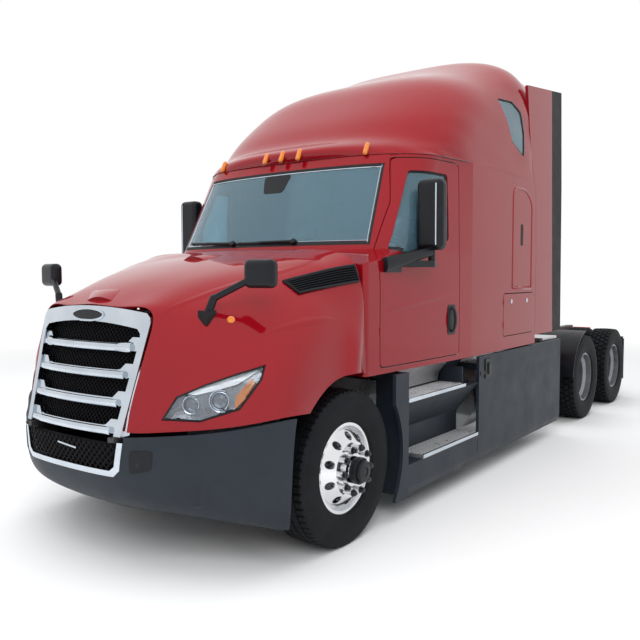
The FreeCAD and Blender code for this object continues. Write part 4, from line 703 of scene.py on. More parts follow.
def patch(outline, locate, depth, rim):
    """A filled outline of (u, v) laid on a skin at a depth under it, with a rim turned back from it."""
    hits = [h for h in (locate(u, v) for u, v in outline) if h]
    face = [p - n * depth for p, n in hits]
    back = [p - n * (depth + rim) for p, n in hits]
    count = len(face)
    form = Form().add(face + [sum(face, Vector()) / count],
                      [(i, (i + 1) % count, count) for i in range(count)])
    return form.add(face + back, band(0, count, count))


def laid_plate(locate, corners, radius, depth, rim, gap=0.03):
    """A thin plate with rounded corners, laid on a skin."""
    return patch(spread(rounded_path(corners, radius), gap), locate, depth, rim)


def oblong(low_u, low_v, high_u, high_v):
    """The four corners of an upright oblong."""
    return [(low_u, low_v), (high_u, low_v), (high_u, high_v), (low_u, high_v)]


def grid_on(skin, corners, columns, rows, way=None):
    """Points of a skin under a four-cornered area, row by row, met along a way in where one is given."""

    def meet(place):
        found = way and skin.hit(place - Vector(way) * RAY_LEAD, way)
        return found or skin.near(place)

    first, second, third, fourth = (Vector(c) for c in corners)
    grid = []
    for r in range(rows + 1):
        v = r / rows
        low = [first.lerp(second, k / columns) for k in range(columns + 1)]
        high = [fourth.lerp(third, k / columns) for k in range(columns + 1)]
        grid.append([meet(a.lerp(b, v)) for a, b in zip(low, high)])
    return grid


def laid_sheet(grid, lift, wall):
    """A sheet lifted off a skin by lift(u, v), with a wall round its border."""
    rows, columns = len(grid), len(grid[0])
    top, foot = [], []
    for r, row in enumerate(grid):
        for k, (place, normal) in enumerate(row):
            height = lift(k / (columns - 1), r / (rows - 1))
            top.append(place + normal * height)
            foot.append(place - normal * wall)
    faces = []
    for r in range(rows - 1):
        faces += band(r * columns, (r + 1) * columns, columns, False)
    border = [k for k in range(columns)] + [r * columns + columns - 1 for r in range(1, rows)]
    border += [(rows - 1) * columns + k for k in range(columns - 2, -1, -1)]
    border += [r * columns for r in range(rows - 2, 0, -1)]
    form = Form().add(top + [foot[i] for i in border], faces)
    base, count = len(top), len(border)
    form.faces += [(border[a], border[b], c, d) for a, b, c, d in band(0, base, count)]
    return form


def outer_faces(node, direction, limit=0.5, keep=None):
    """The faces of a node that look along a direction, joined where they meet."""
    way = Vector(direction).normalized()
    mesh = frame["nodes"][node].data
    used, faces = {}, []
    for face in mesh.polygons:
        if face.normal.dot(way) < limit or (keep and not keep(face.center)):
            continue
        corner = []
        for i in face.vertices:
            key = tuple(round(c, 4) for c in mesh.vertices[i].co)
            spot = used.setdefault(key, len(used))
            if spot not in corner:
                corner.append(spot)
        if len(corner) > 2:
            faces.append(tuple(corner))
    return Form().add([Vector(k) for k in used], faces)


def rim_of(form, gap=0.05):
    """The longest open edge of a form as evenly spread points with their outward directions."""
    normals, edges = {}, set()
    for face in form.faces:
        a, b, c = (form.points[i] for i in face[:3])
        normal = (b - a).cross(c - a)
        for i, j in zip(face, face[1:] + face[:1]):
            edges.add((i, j))
            normals[i] = normals.get(i, Vector()) + normal
    onward = {i: j for i, j in edges if (j, i) not in edges}
    best = []
    while onward:
        start = min(onward)
        loop = [start]
        while loop[-1] in onward:
            loop.append(onward.pop(loop[-1]))
        if len(loop) > len(best):
            best = loop
    hits = [(form.points[i], normals[i].normalized()) for i in best[:-1]]
    kept = [hits[0]]
    for (a, n), (b, m) in zip(hits, hits[1:] + hits[:1]):
        parts = max(1, math.ceil((b - a).length / gap))
        kept += [(a.lerp(b, j / parts), n.lerp(m, j / parts)) for j in range(1, parts + 1)]
    slim = []
    for place, normal in kept[:-1]:
        if not slim or (place - slim[-1][0]).length > gap * 0.4:
            slim.append((place, normal))
    return slim


def shifted(profile, across):
    """A cross-section moved aside from its path."""
    return [(u + across, v) for u, v in profile]


def swell(width, height, steps=8):
    """A soft ridge's cross-section, flat underneath."""
    top = [(width * (0.5 - k / steps), height * math.sin(math.pi * k / steps) ** 2)
           for k in range(steps + 1)]
    return top + [(-width / 2, -0.003), (width / 2, -0.003)]


def tapered_swell(run):
    """A ridge that rises from nothing and dies away again."""
    size = math.sin(math.pi * min(1.0, max(0.0, run))) ** 0.5
    return swell(0.012 + 0.050 * size, 0.0055 * size)


def loft(rings):
    """A closed body through rings of equal count."""
    count = len(rings[0])
    form = Form().add([p for ring in rings for p in ring], [])
    for r in range(len(rings) - 1):
        form.faces += band(r * count, (r + 1) * count, count)
    last = (len(rings) - 1) * count
    form.faces += [tuple(range(count))[::-1], tuple(range(last, last + count))]
    return form


def block(low, high):
    """A box between two corners, which a bevel then rounds."""
    x0, y0, z0 = low
    x1, y1, z1 = high
    points = [(x0, y0, z0), (x1, y0, z0), (x1, y1, z0), (x0, y1, z0),
              (x0, y0, z1), (x1, y0, z1), (x1, y1, z1), (x0, y1, z1)]
    faces = [(0, 3, 2, 1), (4, 5, 6, 7), (0, 1, 5, 4), (1, 2, 6, 5), (2, 3, 7, 6), (3, 0, 4, 7)]
    return Form().add(points, faces)


def both(form, name, finish, body, slot=None, **edge):
    """The left piece and its mirror image, on one body, or each on its own side's body."""
    if "{" not in body:
        return [form.with_mirror().object(name, finish, body, slot, **edge)]
    turned = form.mirrored()
    return [shape.object(f"{name}_{side}", finish, body.format(side), slot, **edge)
            for shape, side in ((form, "left"), (turned, "right"))]


# Tyres and wheels

BEAD_RADIUS = 0.292
TYRE_CLEARANCE = 0.0005
# Cross grooves: pitches round the tyre, columns a pitch, columns cut, depth, ribs staggered
STEER_TREAD = (64, 5, 1, 0.013, False)
DRIVE_TREAD = (44, 8, 2, 0.018, True)
RIB_EDGES = ((-0.60, -0.53), (-0.22, -0.15), (0.15, 0.22), (0.53, 0.60))
GROOVE_SLOPE = 0.012
SHOULDER = 0.885
# Turned profiles of (radius, distance out)
WASHER = [(0.024, 0.0), (0.024, 0.004), (0.019, 0.005)]
STUD_END = [(0.0105, 0.022), (0.0105, 0.030), (0.008, 0.032), (0.0001, 0.032)]
HUB_COVER = [(0.086, -0.03), (0.086, 0.006), (0.080, 0.012), (0.074, 0.012), (0.071, 0.030),
             (0.060, 0.038), (0.030, 0.041), (0.028, 0.036), (0.0001, 0.036)]
AXLE_FLANGE = [(0.100, -0.02), (0.100, 0.008), (0.092, 0.012), (0.060, 0.013), (0.055, 0.024),
               (0.030, 0.030), (0.0001, 0.030)]


def tyre_section(half, outer, groove_depth):
    """Half-section points of (across, radius, kind) from bead to bead; kind marks tread tops by rib."""
    near_bead = ((0.80, 0.0), (0.86, 0.004), (0.90, 0.014), (0.925, 0.018), (0.93, 0.030), (0.975, 0.062),
                 (1.0, 0.105), (0.995, 0.130))
    near_tread = ((0.985, 0.062), (0.975, 0.058), (0.972, 0.046), (0.955, 0.030), (0.925, 0.016))
    wall = [(share, BEAD_RADIUS + rise) for share, rise in near_bead]
    wall += [(share, outer - drop) for share, drop in near_tread]
    section = [(-share * half, radius, None) for share, radius in wall]
    section.append((-SHOULDER * half, outer - 0.006, 0))
    for rib, (low, high) in enumerate(RIB_EDGES):
        edges = ((low, True, rib), (low + GROOVE_SLOPE, False, None), (high - GROOVE_SLOPE, False, None),
                 (high, True, rib + 1))
        for across, is_top, owner in edges:
            crown = outer - 0.006 * (across / SHOULDER) ** 2
            radius = crown if is_top else crown - groove_depth
            section.append((across * half, radius, owner if is_top else None))
    section.append((SHOULDER * half, outer - 0.006, len(RIB_EDGES)))
    section += [(share * half, radius, None) for share, radius in wall[::-1]]
    return section


def tyre_form(centre, half, outer, pitches, columns, cut, depth, shift_ribs):
    """A tyre whose ribs are notched across at each pitch."""
    section = tyre_section(half, outer, depth)
    steps = pitches * columns
    points = []
    for i in range(steps):
        angle = math.tau * i / steps
        for across, radius, owner in section:
            if owner is not None:
                phase = (i + (columns // 2 if shift_ribs and owner % 2 else 0)) % columns
                if phase < cut:
                    radius -= depth * (0.85 if shift_ribs or owner in (0, len(RIB_EDGES)) else 0.25)
            points.append(centre + Vector((across, radius * math.cos(angle), radius * math.sin(angle))))
    rows = len(section)
    faces = []
    for i in range(steps):
        faces += band(i * rows, ((i + 1) % steps) * rows, rows, False)
    return Form().add(points, faces)


def tyres():
    """Treaded tyres in the place of the plain ones, twins as one piece."""
    low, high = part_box("tyre_front_left")
    half = (high.x - low.x) / 2 - TYRE_CLEARANCE
    outer = (high.z - low.z) / 2 - TYRE_CLEARANCE
    for axle in ("front", "middle", "rear"):
        for _, side in SIDES:
            low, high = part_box(f"tyre_{axle}_{side}")
            steered = axle == "front"
            middles = [(low.x + high.x) / 2] if steered else [low.x + half, high.x - half]
            form = Form()
            for x in middles:
                centre = Vector((x, (low.y + high.y) / 2, WHEEL_Z))
                form.join(tyre_form(centre, half, outer, *(STEER_TREAD if steered else DRIVE_TREAD)))
            made = form.object(f"{axle}_tyre_{side}", "tyre", f"wheels_{axle}_{side}", smooth=28.0)
            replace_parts(made, f"tyre_{axle}_{side}")


def hexagon(centre, axis, across, height, turn=0.0):
    """A hexagonal nut with a chamfered top."""
    r = across / math.sqrt(3)
    profile = [(0.0001, 0.0), (r, 0.0), (r, height * 0.85), (r * 0.86, height), (0.0001, height)]
    return lathe(centre, axis, profile, 6, turn)


def wheel_nuts(skin, centre_y, sign):
    """Nuts, washers and stud ends, each on the wheel's own face."""
    out = Vector((sign, 0, 0))
    nuts = Form()
    for across, up, angle in round_points(STUD_COUNT):
        place = (sign * ASIDE, centre_y + STUD_CIRCLE * across, WHEEL_Z + STUD_CIRCLE * up)
        seat = skin.hit(place, -out)[0]
        nuts.join(lathe(seat, out, WASHER, 20))
        nuts.join(hexagon(seat, out, 0.033, 0.024, angle))
        nuts.join(lathe(seat, out, STUD_END, 12))
    return nuts


def bolted_cap(seat, out, profile, count, circle, across, height):
    """A turned cap with a ring of bolts on its flange."""
    cap = lathe(seat, out, profile, 48)
    for ahead, up, angle in round_points(count):
        spot = seat + Vector((0, circle * ahead, circle * up)) + out * 0.011
        cap.join(hexagon(spot, out, across, height, angle))
    return cap


def wheel_fittings():
    """Nuts on their studs, and the hub covers and axle flanges, set on the wheels' own faces."""
    for axle in ("front", "middle", "rear"):
        for sign, side in SIDES:
            low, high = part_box(f"tyre_{axle}_{side}")
            centre_y = (low.y + high.y) / 2
            skin = Skin(f"wheel_{axle}_{side}")
            out = Vector((sign, 0, 0))
            body = f"wheels_{axle}_{side}"
            nuts = wheel_nuts(skin, centre_y, sign)
            nuts.object(f"{axle}_nuts_{side}", STEEL_NUT, body, "polished_wheel", smooth=30.0)
            face = skin.hit((sign * ASIDE, centre_y, WHEEL_Z), -out)[0]
            seat = Vector((face.x, centre_y, WHEEL_Z))
            if axle == "front":
                cap = bolted_cap(seat, out, HUB_COVER, 6, 0.078, 0.012, 0.007)
                cap.object(f"front_hub_cover_{side}", "black_plastic", body, smooth=30.0)
            else:
                cap = bolted_cap(seat, out, AXLE_FLANGE, 8, 0.082, 0.019, 0.012)
                cap.object(f"{axle}_axle_flange_{side}", "cast_grey", body, smooth=30.0)


# Grille and nose

LATTICE_STEP = 0.03
LATTICE_THICK = 0.006
BACKING_GAP = 0.03
BACKING_WALL = 0.004
# The surround's four bars: height and how far each reaches aside
GRILLE_BARS = ((1.325, 0.415), (1.172, 0.400), (1.015, 0.388), (0.862, 0.375))
BAR_SECTION = [(-0.024, -0.004), (0.024, -0.004), (0.022, 0.010), (0.010, 0.022), (-0.004, 0.026),
               (-0.018, 0.020), (-0.024, 0.008)]
# An end block's rings: distance in from the bar's reach, height and projection
END_RINGS = ((0.120, 0.020, 0.022), (0.075, 0.036, 0.025), (0.030, 0.040, 0.024), (0.005, 0.038, 0.012))
BUMPER_RIDGE = [(0.922, -0.939, 0.795), (0.897, -0.955, 0.665), (0.876, -0.968, 0.540),
                (0.846, -0.987, 0.404), (0.774, -1.033, 0.368)]
LAMP_BLANK = [(0.505, 0.630), (0.620, 0.655), (0.630, 0.765), (0.510, 0.765)]
SCREEN_LOW = (-0.700, -0.945, 0.430)
SCREEN_HIGH = (0.700, -0.935, 0.860)
BADGE_Z = 1.508
BADGE_HALF_WIDTH = 0.150
BADGE_HALF_HEIGHT = 0.036
LOWER_STRIP = [(-0.07, 0.752), (0.107, 0.738)]


def lattice(node, name, body, pitch, bar):
    """Crossed diagonal bars in the place of a plate, along the plate's curve."""
    skin = Skin(node)
    low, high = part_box(node)
    form = Form()
    height = high.z - low.z
    reach = high.x + height
    steps = int(height / LATTICE_STEP)
    for lean in (1, -1):
        for i in range(int(2 * reach / pitch) + 1):
            start = -reach + i * pitch
            run = []
            for k in range(steps + 1):
                rise = height * k / steps
                x = start + lean * (rise - height / 2)
                found = skin.front(x, low.z + rise) if abs(x) < high.x else None
                if found:
                    run.append(found)
                if run and (k == steps or not found):
                    if len(run) > 1:
                        form.join(laid_strip(run, flat_profile(bar, LATTICE_THICK)))
                    run = []
    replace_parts(form.object(name, "mesh_black", body), node)


def grille():
    """Bar lattices for the plain mesh plates of the hood and the bumper."""
    lattice("grille_mesh", "grille_lattice", "hood_group", 0.032, 0.0065)
    lattice("bumper_grille", "lower_lattice", "chassis", 0.044, 0.009)


def grille_backing():
    """Dark panels behind both lattices, which keep the engine bay out of sight."""
    for node, body, name in (("grille_mesh", "hood_group", "grille_back"),
                             ("bumper_grille", "chassis", "lower_back")):
        face = outer_faces(node, (0, -1, 0.1), 0.4)
        face.points = [p + Vector((0, BACKING_GAP, 0)) for p in face.points]
        back = face.object(name, "mesh_black", body)
        back.modifiers.new("wall", "SOLIDIFY").thickness = BACKING_WALL


def grille_bars():
    """Bowed bright bars with stepped end blocks over the surround's flat ones."""
    skin = Skin("grille_surround")
    bars, blocks = Form(), Form()
    for height, reach in GRILLE_BARS:
        path = spread([(-reach, height), (reach, height)], 0.04, False)
        bars.join(laid_strip([skin.front(x, z) for x, z in path], BAR_SECTION))
        for sign in (1, -1):
            rings = []
            ahead = AXLE_Y - 1.1
            for back, tall, out in END_RINGS:
                place, _ = skin.near((sign * (reach - back), ahead, height))
                corners = ((-0.004, -tall * 0.7), (out, -tall * 0.5), (out * 0.9, tall * 0.8),
                           (-0.004, tall))
                rings.append([Vector((place.x, place.y - dy, height + dz)) for dy, dz in corners])
                ahead = rings[-1][0].y
            blocks.join(loft(rings))
    bars.object("grille_bars", "chrome", "hood_group", bevel=0.002)
    blocks.object("grille_bar_ends", "chrome", "hood_group", bevel=0.003)


def bumper_details():
    """Soft ridges on the bumper's corners, the blanked lamp recesses and the screen behind the mesh."""
    skin = Skin("bumper")
    ridge = laid_strip([skin.near(p) for p in routed(BUMPER_RIDGE, 0.04)], tapered_swell)
    both(ridge, "bumper_ridges", "dark_plastic", "chassis", smooth=60.0)
    both(laid_plate(skin.front, LAMP_BLANK, 0.025, -0.003, 0.004), "bumper_lamp_blanks", "black_plastic",
         "chassis")
    screen = block(station(*SCREEN_LOW), station(*SCREEN_HIGH))
    screen.object("radiator_screen", "mesh_black", "chassis", bevel=0.002)


def nose_badge():
    """A plain oval on the surround's top band, with a dark smooth face."""
    skin = Skin("grille_surround")
    oval = [(BADGE_HALF_WIDTH * across, BADGE_Z + BADGE_HALF_HEIGHT * up)
            for across, up, _ in round_points(40)]
    ring = laid_strip([skin.front(x, z) for x, z in oval], flat_profile(0.012, 0.010), True)
    ring.object("badge_ring", "chrome", "hood_group")
    patch(oval, skin.front, -0.004, 0.003).object("badge_face", "black_plastic", "hood_group")


def lower_strip():
    """A short bright strip on the lower mesh."""
    skin = Skin("bumper_grille")
    path = spread(LOWER_STRIP, 0.03, False)
    strip = laid_strip([skin.front(x, z) for x, z in path], flat_profile(0.012, 0.012))
    strip.object("lower_bright_strip", "chrome", "chassis", bevel=0.001)


# Headlamps

LAMP_WEDGE = [(0.735, 1.078), (0.80, 1.128), (0.95, 1.185), (1.055, 1.232), (1.062, 1.205),
              (0.985, 1.135), (0.90, 1.105), (0.80, 1.075)]
LAMP_AMBER = [(0.990, 1.000), (0.988, 1.068), (1.045, 1.165), (1.064, 1.150), (1.035, 1.060)]
LAMP_EYES = ((0.782, 1.020, 0.040), (0.914, 1.043, 0.048))  # place and radius of each projector
LAMP_DEPTH = 0.027
EYE_RING = ((1.05, -0.002), (1.08, 0.012), (0.98, 0.016), (0.9, 0.012), (0.88, 0.0))
EYE_ARC = ((1.16, 0.0), (1.20, 0.016), (1.30, 0.017), (1.34, 0.0))
EYE_DOME = 0.88


def tub_under(cover, depth, outward):
    """A tub whose rim is the cover's edge: the cover pushed in, and walls down to it."""
    count = len(cover.points)
    pushed = [p - outward * depth for p in cover.points]
    rim = [p - outward * 0.002 for p in cover.points]
    form = Form().add(pushed + rim, cover.faces)
    edges = {}
    for face in cover.faces:
        for a, b in zip(face, face[1:] + face[:1]):
            key = (min(a, b), max(a, b))
            edges[key] = edges.get(key, 0) + 1
    form.faces += [(a, b, b + count, a + count) for (a, b), uses in edges.items() if uses == 1]
    return form


def lamp_insides(side, spot, outward):
    """The white guide, the amber lamp and the two projectors in their rings."""
    wedge = patch(spread(LAMP_WEDGE, 0.03), spot, 0.006, 0.020)
    wedge.object(f"lamp_light_guide_{side}", WHITE_GUIDE, "hood_group", "chrome")
    amber = patch(spread(LAMP_AMBER, 0.03), spot, 0.005, 0.020)
    amber.object(f"lamp_amber_{side}", "amber_lens", "hood_group")
    eyes, rings, arcs = Form(), Form(), Form()
    for x, z, radius in LAMP_EYES:
        seat = spot(x, z)[0] - outward * (LAMP_DEPTH - 0.0005)
        rings.join(lathe(seat, outward, [(radius * r, out) for r, out in EYE_RING], 40))
        arcs.join(lathe(seat, outward, [(radius * r, out) for r, out in EYE_ARC], 32, math.radians(60),
                        math.radians(240)))
        bowl = radius * EYE_DOME
        dome = [(bowl * math.cos(a), 0.004 + radius * 0.36 * math.sin(a))
                for a in (math.pi / 2 * k / 8 for k in range(9))]
        dome[-1] = (0.0001, dome[-1][1])
        eyes.join(lathe(seat, outward, [(bowl, -0.002)] + dome, 40))
    rings.object(f"lamp_rings_{side}", "chrome", "hood_group")
    eyes.object(f"lamp_projectors_{side}", PROJECTOR_GLASS, "hood_group", "lamp_lens")
    arcs.object(f"lamp_arcs_{side}", "chrome", "hood_group")


def headlamps():
    """Clear covers in the place of the solid ones, over a tub with the lamps in it."""
    skin = Skin("headlamps")
    for sign, side in SIDES:
        outward = Vector((0.5 * sign, -0.86, 0.1)).normalized()
        cover = outer_faces("headlamps", (0.55 * sign, -0.8, 0.2), 0.6, lambda c, s=sign: c.x * s > 0)
        tub = tub_under(cover, LAMP_DEPTH, outward)
        tub.object(f"lamp_housing_{side}", LAMP_HOUSING, "hood_group", "black_plastic")
        shell = cover.object(f"lamp_cover_{side}", "lamp_lens", "hood_group")
        wall = shell.modifiers.new("wall", "SOLIDIFY")
        wall.thickness = 0.003
        wall.offset = -1.0
        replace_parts(shell, "headlamps")
        edge = rim_of(cover, 0.04)
        line = laid_strip(edge, shifted(flat_profile(0.009, 0.003), -0.003), True)
        line.object(f"lamp_edge_{side}", "black_plastic", "hood_group")
        lamp_insides(side, lambda x, z, way=sign: skin.front(way * x, z), outward)


# Windows

SCREEN_RUBBER = 0.034
DOOR_RUBBER = 0.026
UPPER_RUBBER = 0.022
RUBBER_OVER_BODY = 0.010  # how far a rubber reaches from the glass edge over the body
UPPER_WINDOW_Z = 2.7
WIPERS = (((-0.25, 1.985), (-0.84, 2.010)), ((0.36, 1.985), (-0.20, 1.990)))  # pivot and tip
WIPER_BLADE = [(-0.006, -0.010), (0.006, -0.010), (0.010, 0.004), (0, 0.010), (-0.010, 0.004)]
WIPER_PIVOT = [(0.024, 0.0), (0.024, 0.03), (0.018, 0.038), (0.0001, 0.038)]
SENSOR_POD = [(-0.17, 2.545), (0.11, 2.545), (0.075, 2.400), (-0.125, 2.400)]


def window_trim():
    """Rubber frames on the edges of the glass, and the windscreen's bright inner line."""
    jobs = [("screen", "cab_glass", (0, -1, 0.4), lambda c: c.y < AXLE_Y + 1.2, "chassis", SCREEN_RUBBER)]
    for sign, side in SIDES:
        jobs.append((f"door_window_{side}", f"door_glass_{side}", (sign, 0, 0.2), None,
                     f"door_{side}_group", DOOR_RUBBER))
        jobs.append((f"upper_window_{side}", "cab_glass", (sign, 0, 0.2),
                     lambda c, s=sign: c.z > UPPER_WINDOW_Z and c.x * s > 0, "chassis", UPPER_RUBBER))
    for name, node, way, keep, body, width in jobs:
        edge = rim_of(outer_faces(node, way, 0.5, keep))
        section = shifted(flat_profile(width, 0.008), RUBBER_OVER_BODY - width / 2)
        laid_strip(edge, section, True).object(f"{name}_rubber", "rubber", body)
        if name == "screen":
            line = laid_strip(edge, shifted(flat_profile(0.008, 0.008), 0.002 - width), True)
            line.object("screen_bright_line", "chrome", body)


def wipers():
    """Two wipers parked along the foot of the windscreen."""
    skin = Skin("cab_glass")
    arms, blades = Form(), Form()
    for ends in WIPERS:
        hits = [h for h in (skin.front(x, z) for x, z in spread(ends, 0.05, False)) if h]
        blades.join(laid_strip([(p + n * 0.012, n) for p, n in hits], WIPER_BLADE))
        reach = len(hits) * 2 // 3
        arm = [(p + n * (0.030 - 0.012 * i / len(hits)), n) for i, (p, n) in enumerate(hits[:reach])]
        arms.join(laid_strip(arm, flat_profile(0.016, 0.008)))
        arms.join(lathe(*hits[0], WIPER_PIVOT, 20))
    arms.object("wiper_arms", "black_plastic", "chassis", bevel=0.001)
    blades.object("wiper_blades", "rubber", "chassis")


def sensor_pod():
    """Dark pod on the glass at the top of the windscreen."""
    pod = laid_plate(Skin("cab_glass").front, SENSOR_POD, 0.03, -0.003, 0.002)
    pod.object("sensor_pod", "black_plastic", "chassis")


# Hood and doors

VENT_CORNERS = ((1.001, -0.285, 1.633), (1.122, 0.19, 1.704), (1.088, 0.19, 1.810),
                (0.893, -0.300, 1.702))
VENT_WAY_IN = (-0.62, 0.3, -0.73)
FRONT_SCOOP = ((-0.095, -1.02, 1.59), (0.13, -1.01, 1.59), (0.05, -0.88, 1.65), (-0.235, -0.88, 1.65))
REAR_SCOOP = ((-0.10, -0.21, 1.85), (0.10, -0.21, 1.86), (0.10, -0.02, 1.9), (-0.10, -0.02, 1.9))
SCOOP_HEIGHT = 0.022
HOOD_CREST = [(0.537, -1.000, 1.510), (0.573, -0.864, 1.576), (0.650, -0.653, 1.649),
              (0.785, -0.30, 1.745), (0.916, 0.049, 1.842)]
ARCH_CREST = [(1.032, -0.596, 1.415), (1.10, -0.33, 1.44), (1.150, -0.09, 1.460)]
CREST_WAY_IN = (-0.55, 0.25, -0.8)
DOOR_CREST = [(0.47, 1.490), (0.90, 1.545), (1.46, 1.600)]
GRIP_Y = 1.40
GRIP_LOW = 1.295
GRIP_LENGTH = 0.195
MARKER = [(0.024, -0.002), (0.024, 0.004), (0.021, 0.009), (0.012, 0.013), (0.0001, 0.014)]


def hood_vents():
    """Black ribbed panels in the hood's shoulders."""
    corners = [station(*c) for c in VENT_CORNERS]
    grid = grid_on(Skin("hood"), corners, 24, 7, Vector(VENT_WAY_IN).normalized())
    both(laid_sheet(grid, lambda u, v: 0.009, 0.004), "vent_panel", "mesh_black", "hood_group",
         "black_plastic")
    ribs = Form()
    for row in grid[1:-1]:
        ribs.join(laid_strip(row, flat_profile(0.009, 0.019)))
    border = grid[0] + [row[-1] for row in grid[1:]]
    border += grid[-1][-2::-1] + [row[0] for row in grid[-2:0:-1]]
    ribs.join(laid_strip(border, flat_profile(0.018, 0.017), True))
    both(ribs, "vent_ribs", "black_plastic", "hood_group")


def hood_scoops():
    """Two low raised forms along the middle of the hood."""
    skin = Skin("hood")

    def hump(u, v):
        return 0.001 + SCOOP_HEIGHT * (math.sin(math.pi * u) ** 0.8
                                       * math.sin(math.pi * min(1.0, v * 0.5 + 0.5)) ** 0.7)

    shapes = Form()
    for corners in (FRONT_SCOOP, REAR_SCOOP):
        grid = grid_on(skin, [station(*c) for c in corners], 14, 8, (0, 0, -1))
        shapes.join(laid_sheet(grid, hump, 0.004))
    shapes.object("hood_scoops", "red_paint", "hood_group")


def character_lines():
    """Soft pressed ridges on the hood, the fenders and the doors."""
    skin = Skin("hood")
    way = Vector(CREST_WAY_IN).normalized()
    ridges = Form()
    for crest in (HOOD_CREST, ARCH_CREST):
        hits = [skin.hit(p - way * 0.15, way) for p in routed(crest, 0.05)]
        ridges.join(laid_strip(hits, tapered_swell))
    both(ridges, "hood_ridges", "red_paint", "hood_group", smooth=60.0)
    for sign, side in SIDES:
        door = Skin(f"door_{side}")
        hits = [door.side(y, z, sign) for y, z in spread(DOOR_CREST, 0.06, False)]
        ridge = laid_strip(hits, tapered_swell)
        ridge.object(f"door_ridge_{side}", "red_paint", f"door_{side}_group", smooth=60.0)


def door_handles():
    """A bowed grip over a dark plate on each door."""
    skin = Skin("door_left")
    plate = laid_plate(skin.side, oblong(1.335, 1.275, 1.455, 1.510), 0.03, -0.004, 0.006)
    both(plate, "handle_plate", "black_plastic", "door_{}_group")
    path = []
    for k in range(13):
        place, normal = skin.side(GRIP_Y, GRIP_LOW + GRIP_LENGTH * k / 12)
        path.append((place + normal * (0.004 + 0.030 * math.sin(math.pi * k / 12) ** 0.5), normal))
    both(laid_strip(path, flat_profile(0.034, 0.012)), "handle_grip", "black_plastic", "door_{}_group",
         bevel=0.002)


def mirror_faces(node, outlines, gap, name, body):
    """Silvered faces on the backs of the housings."""
    skin = Skin(node)
    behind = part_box(node)[1].y + 0.1
    faces = Form()

    def locate(x, z):
        return skin.hit((x, behind, z), (0, -1, 0))

    for outline in outlines:
        faces.join(laid_plate(locate, outline, 0.025, -0.002, 0.002, gap))
    both(faces, name, MIRROR_FACE, body, "chrome")


def mirror_details():
    """Silvered faces, the main mirrors' broad arms and the bright strip on their housings."""
    outlines = (oblong(1.178, 2.065, 1.334, 2.405), oblong(1.178, 1.950, 1.334, 2.045))
    mirror_faces("mirror_left", outlines, 0.04, "mirror_faces", "door_{}_group")
    rings = []
    for k in range(9):
        t = k / 8
        middle = station(1.190 + 0.085 * t, 0.43 + 0.50 * t, 1.815 + 0.10 * t)
        tall, thick = 0.052 - 0.020 * t, 0.016 - 0.003 * t
        rings.append([middle + Vector((thick * across, 0, tall * up))
                      for across, up, _ in round_points(16)])
    both(loft(rings), "mirror_arm_blade", "black_plastic", "door_{}_group")
    skin = Skin("mirror_left")
    edge = [skin.hit((1.318, AXLE_Y, 1.96 + 0.44 * k / 10), (0, 1, 0)) for k in range(11)]
    both(laid_strip(edge, flat_profile(0.010, 0.004)), "mirror_bright_strip", "chrome", "door_{}_group")
    outlines = (oblong(0.955, 1.700, 1.095, 1.805),)
    mirror_faces("hood_mirrors", outlines, 0.03, "hood_mirror_faces", "hood_group")


def side_markers():
    """Small amber lamps low on the hood sides."""
    seat = Skin("hood").near(station(0.844, -0.721, 1.485))
    both(lathe(*seat, MARKER, 28), "side_markers", "amber_lens", "hood_group")


# Cab side, steps and fairings

SLEEPER_PANEL = [(2.62, 1.30), (3.10, 1.30), (3.10, 2.44), (2.94, 2.545), (2.62, 2.545)]
# Each tread: inner x, front and rear y, height
TREADS = ((1.000, -2.200, -1.290, 0.858), (1.030, -1.980, -1.040, 0.4083))
TREAD_REACH = 1.196
RING_PITCH_X = 0.031
RING_PITCH_Y = 0.033
TREAD_RING = [(0.0115, 0), (0.010, 0.003), (0.0065, 0.003), (0.0055, 0)]
LATCH_Y = 2.09
TAIL_LENS_X = (0.503, 0.626)
TAIL_LENS_Z = 0.917
TAIL_LENS = [(0.052, 0.0), (0.052, 0.005), (0.046, 0.007), (0.042, 0.003), (0.03, 0.008), (0.0001, 0.010)]
LOCK_Y = (2.60, 2.99)
LOCK_Z = 1.50
LOCK = [(0.022, 0), (0.022, 0.004), (0.016, 0.007), (0.007, 0.007), (0.006, 0.004), (0.0001, 0.004)]


def sleeper_panel():
    """Pressed outline on the sleeper's side, and a dark plate of painted shade for its slit."""
    skin = Skin("cab_shell")
    edge = spread(rounded_path(SLEEPER_PANEL, 0.09), 0.06)
    bead = laid_strip([skin.side(y, z) for y, z in edge], swell(0.034, 0.007), True)
    both(bead, "sleeper_bead", "red_paint", "chassis", smooth=60.0)
    # The slit is a dark rubber plate laid on the skin: painted shade standing in for the shadow inside
    # the slit.
    slit = laid_plate(skin.side, oblong(2.816, 2.020, 2.872, 2.220), 0.02, -0.002, 0.003)
    both(slit, "sleeper_slit_shade", "rubber", "chassis")


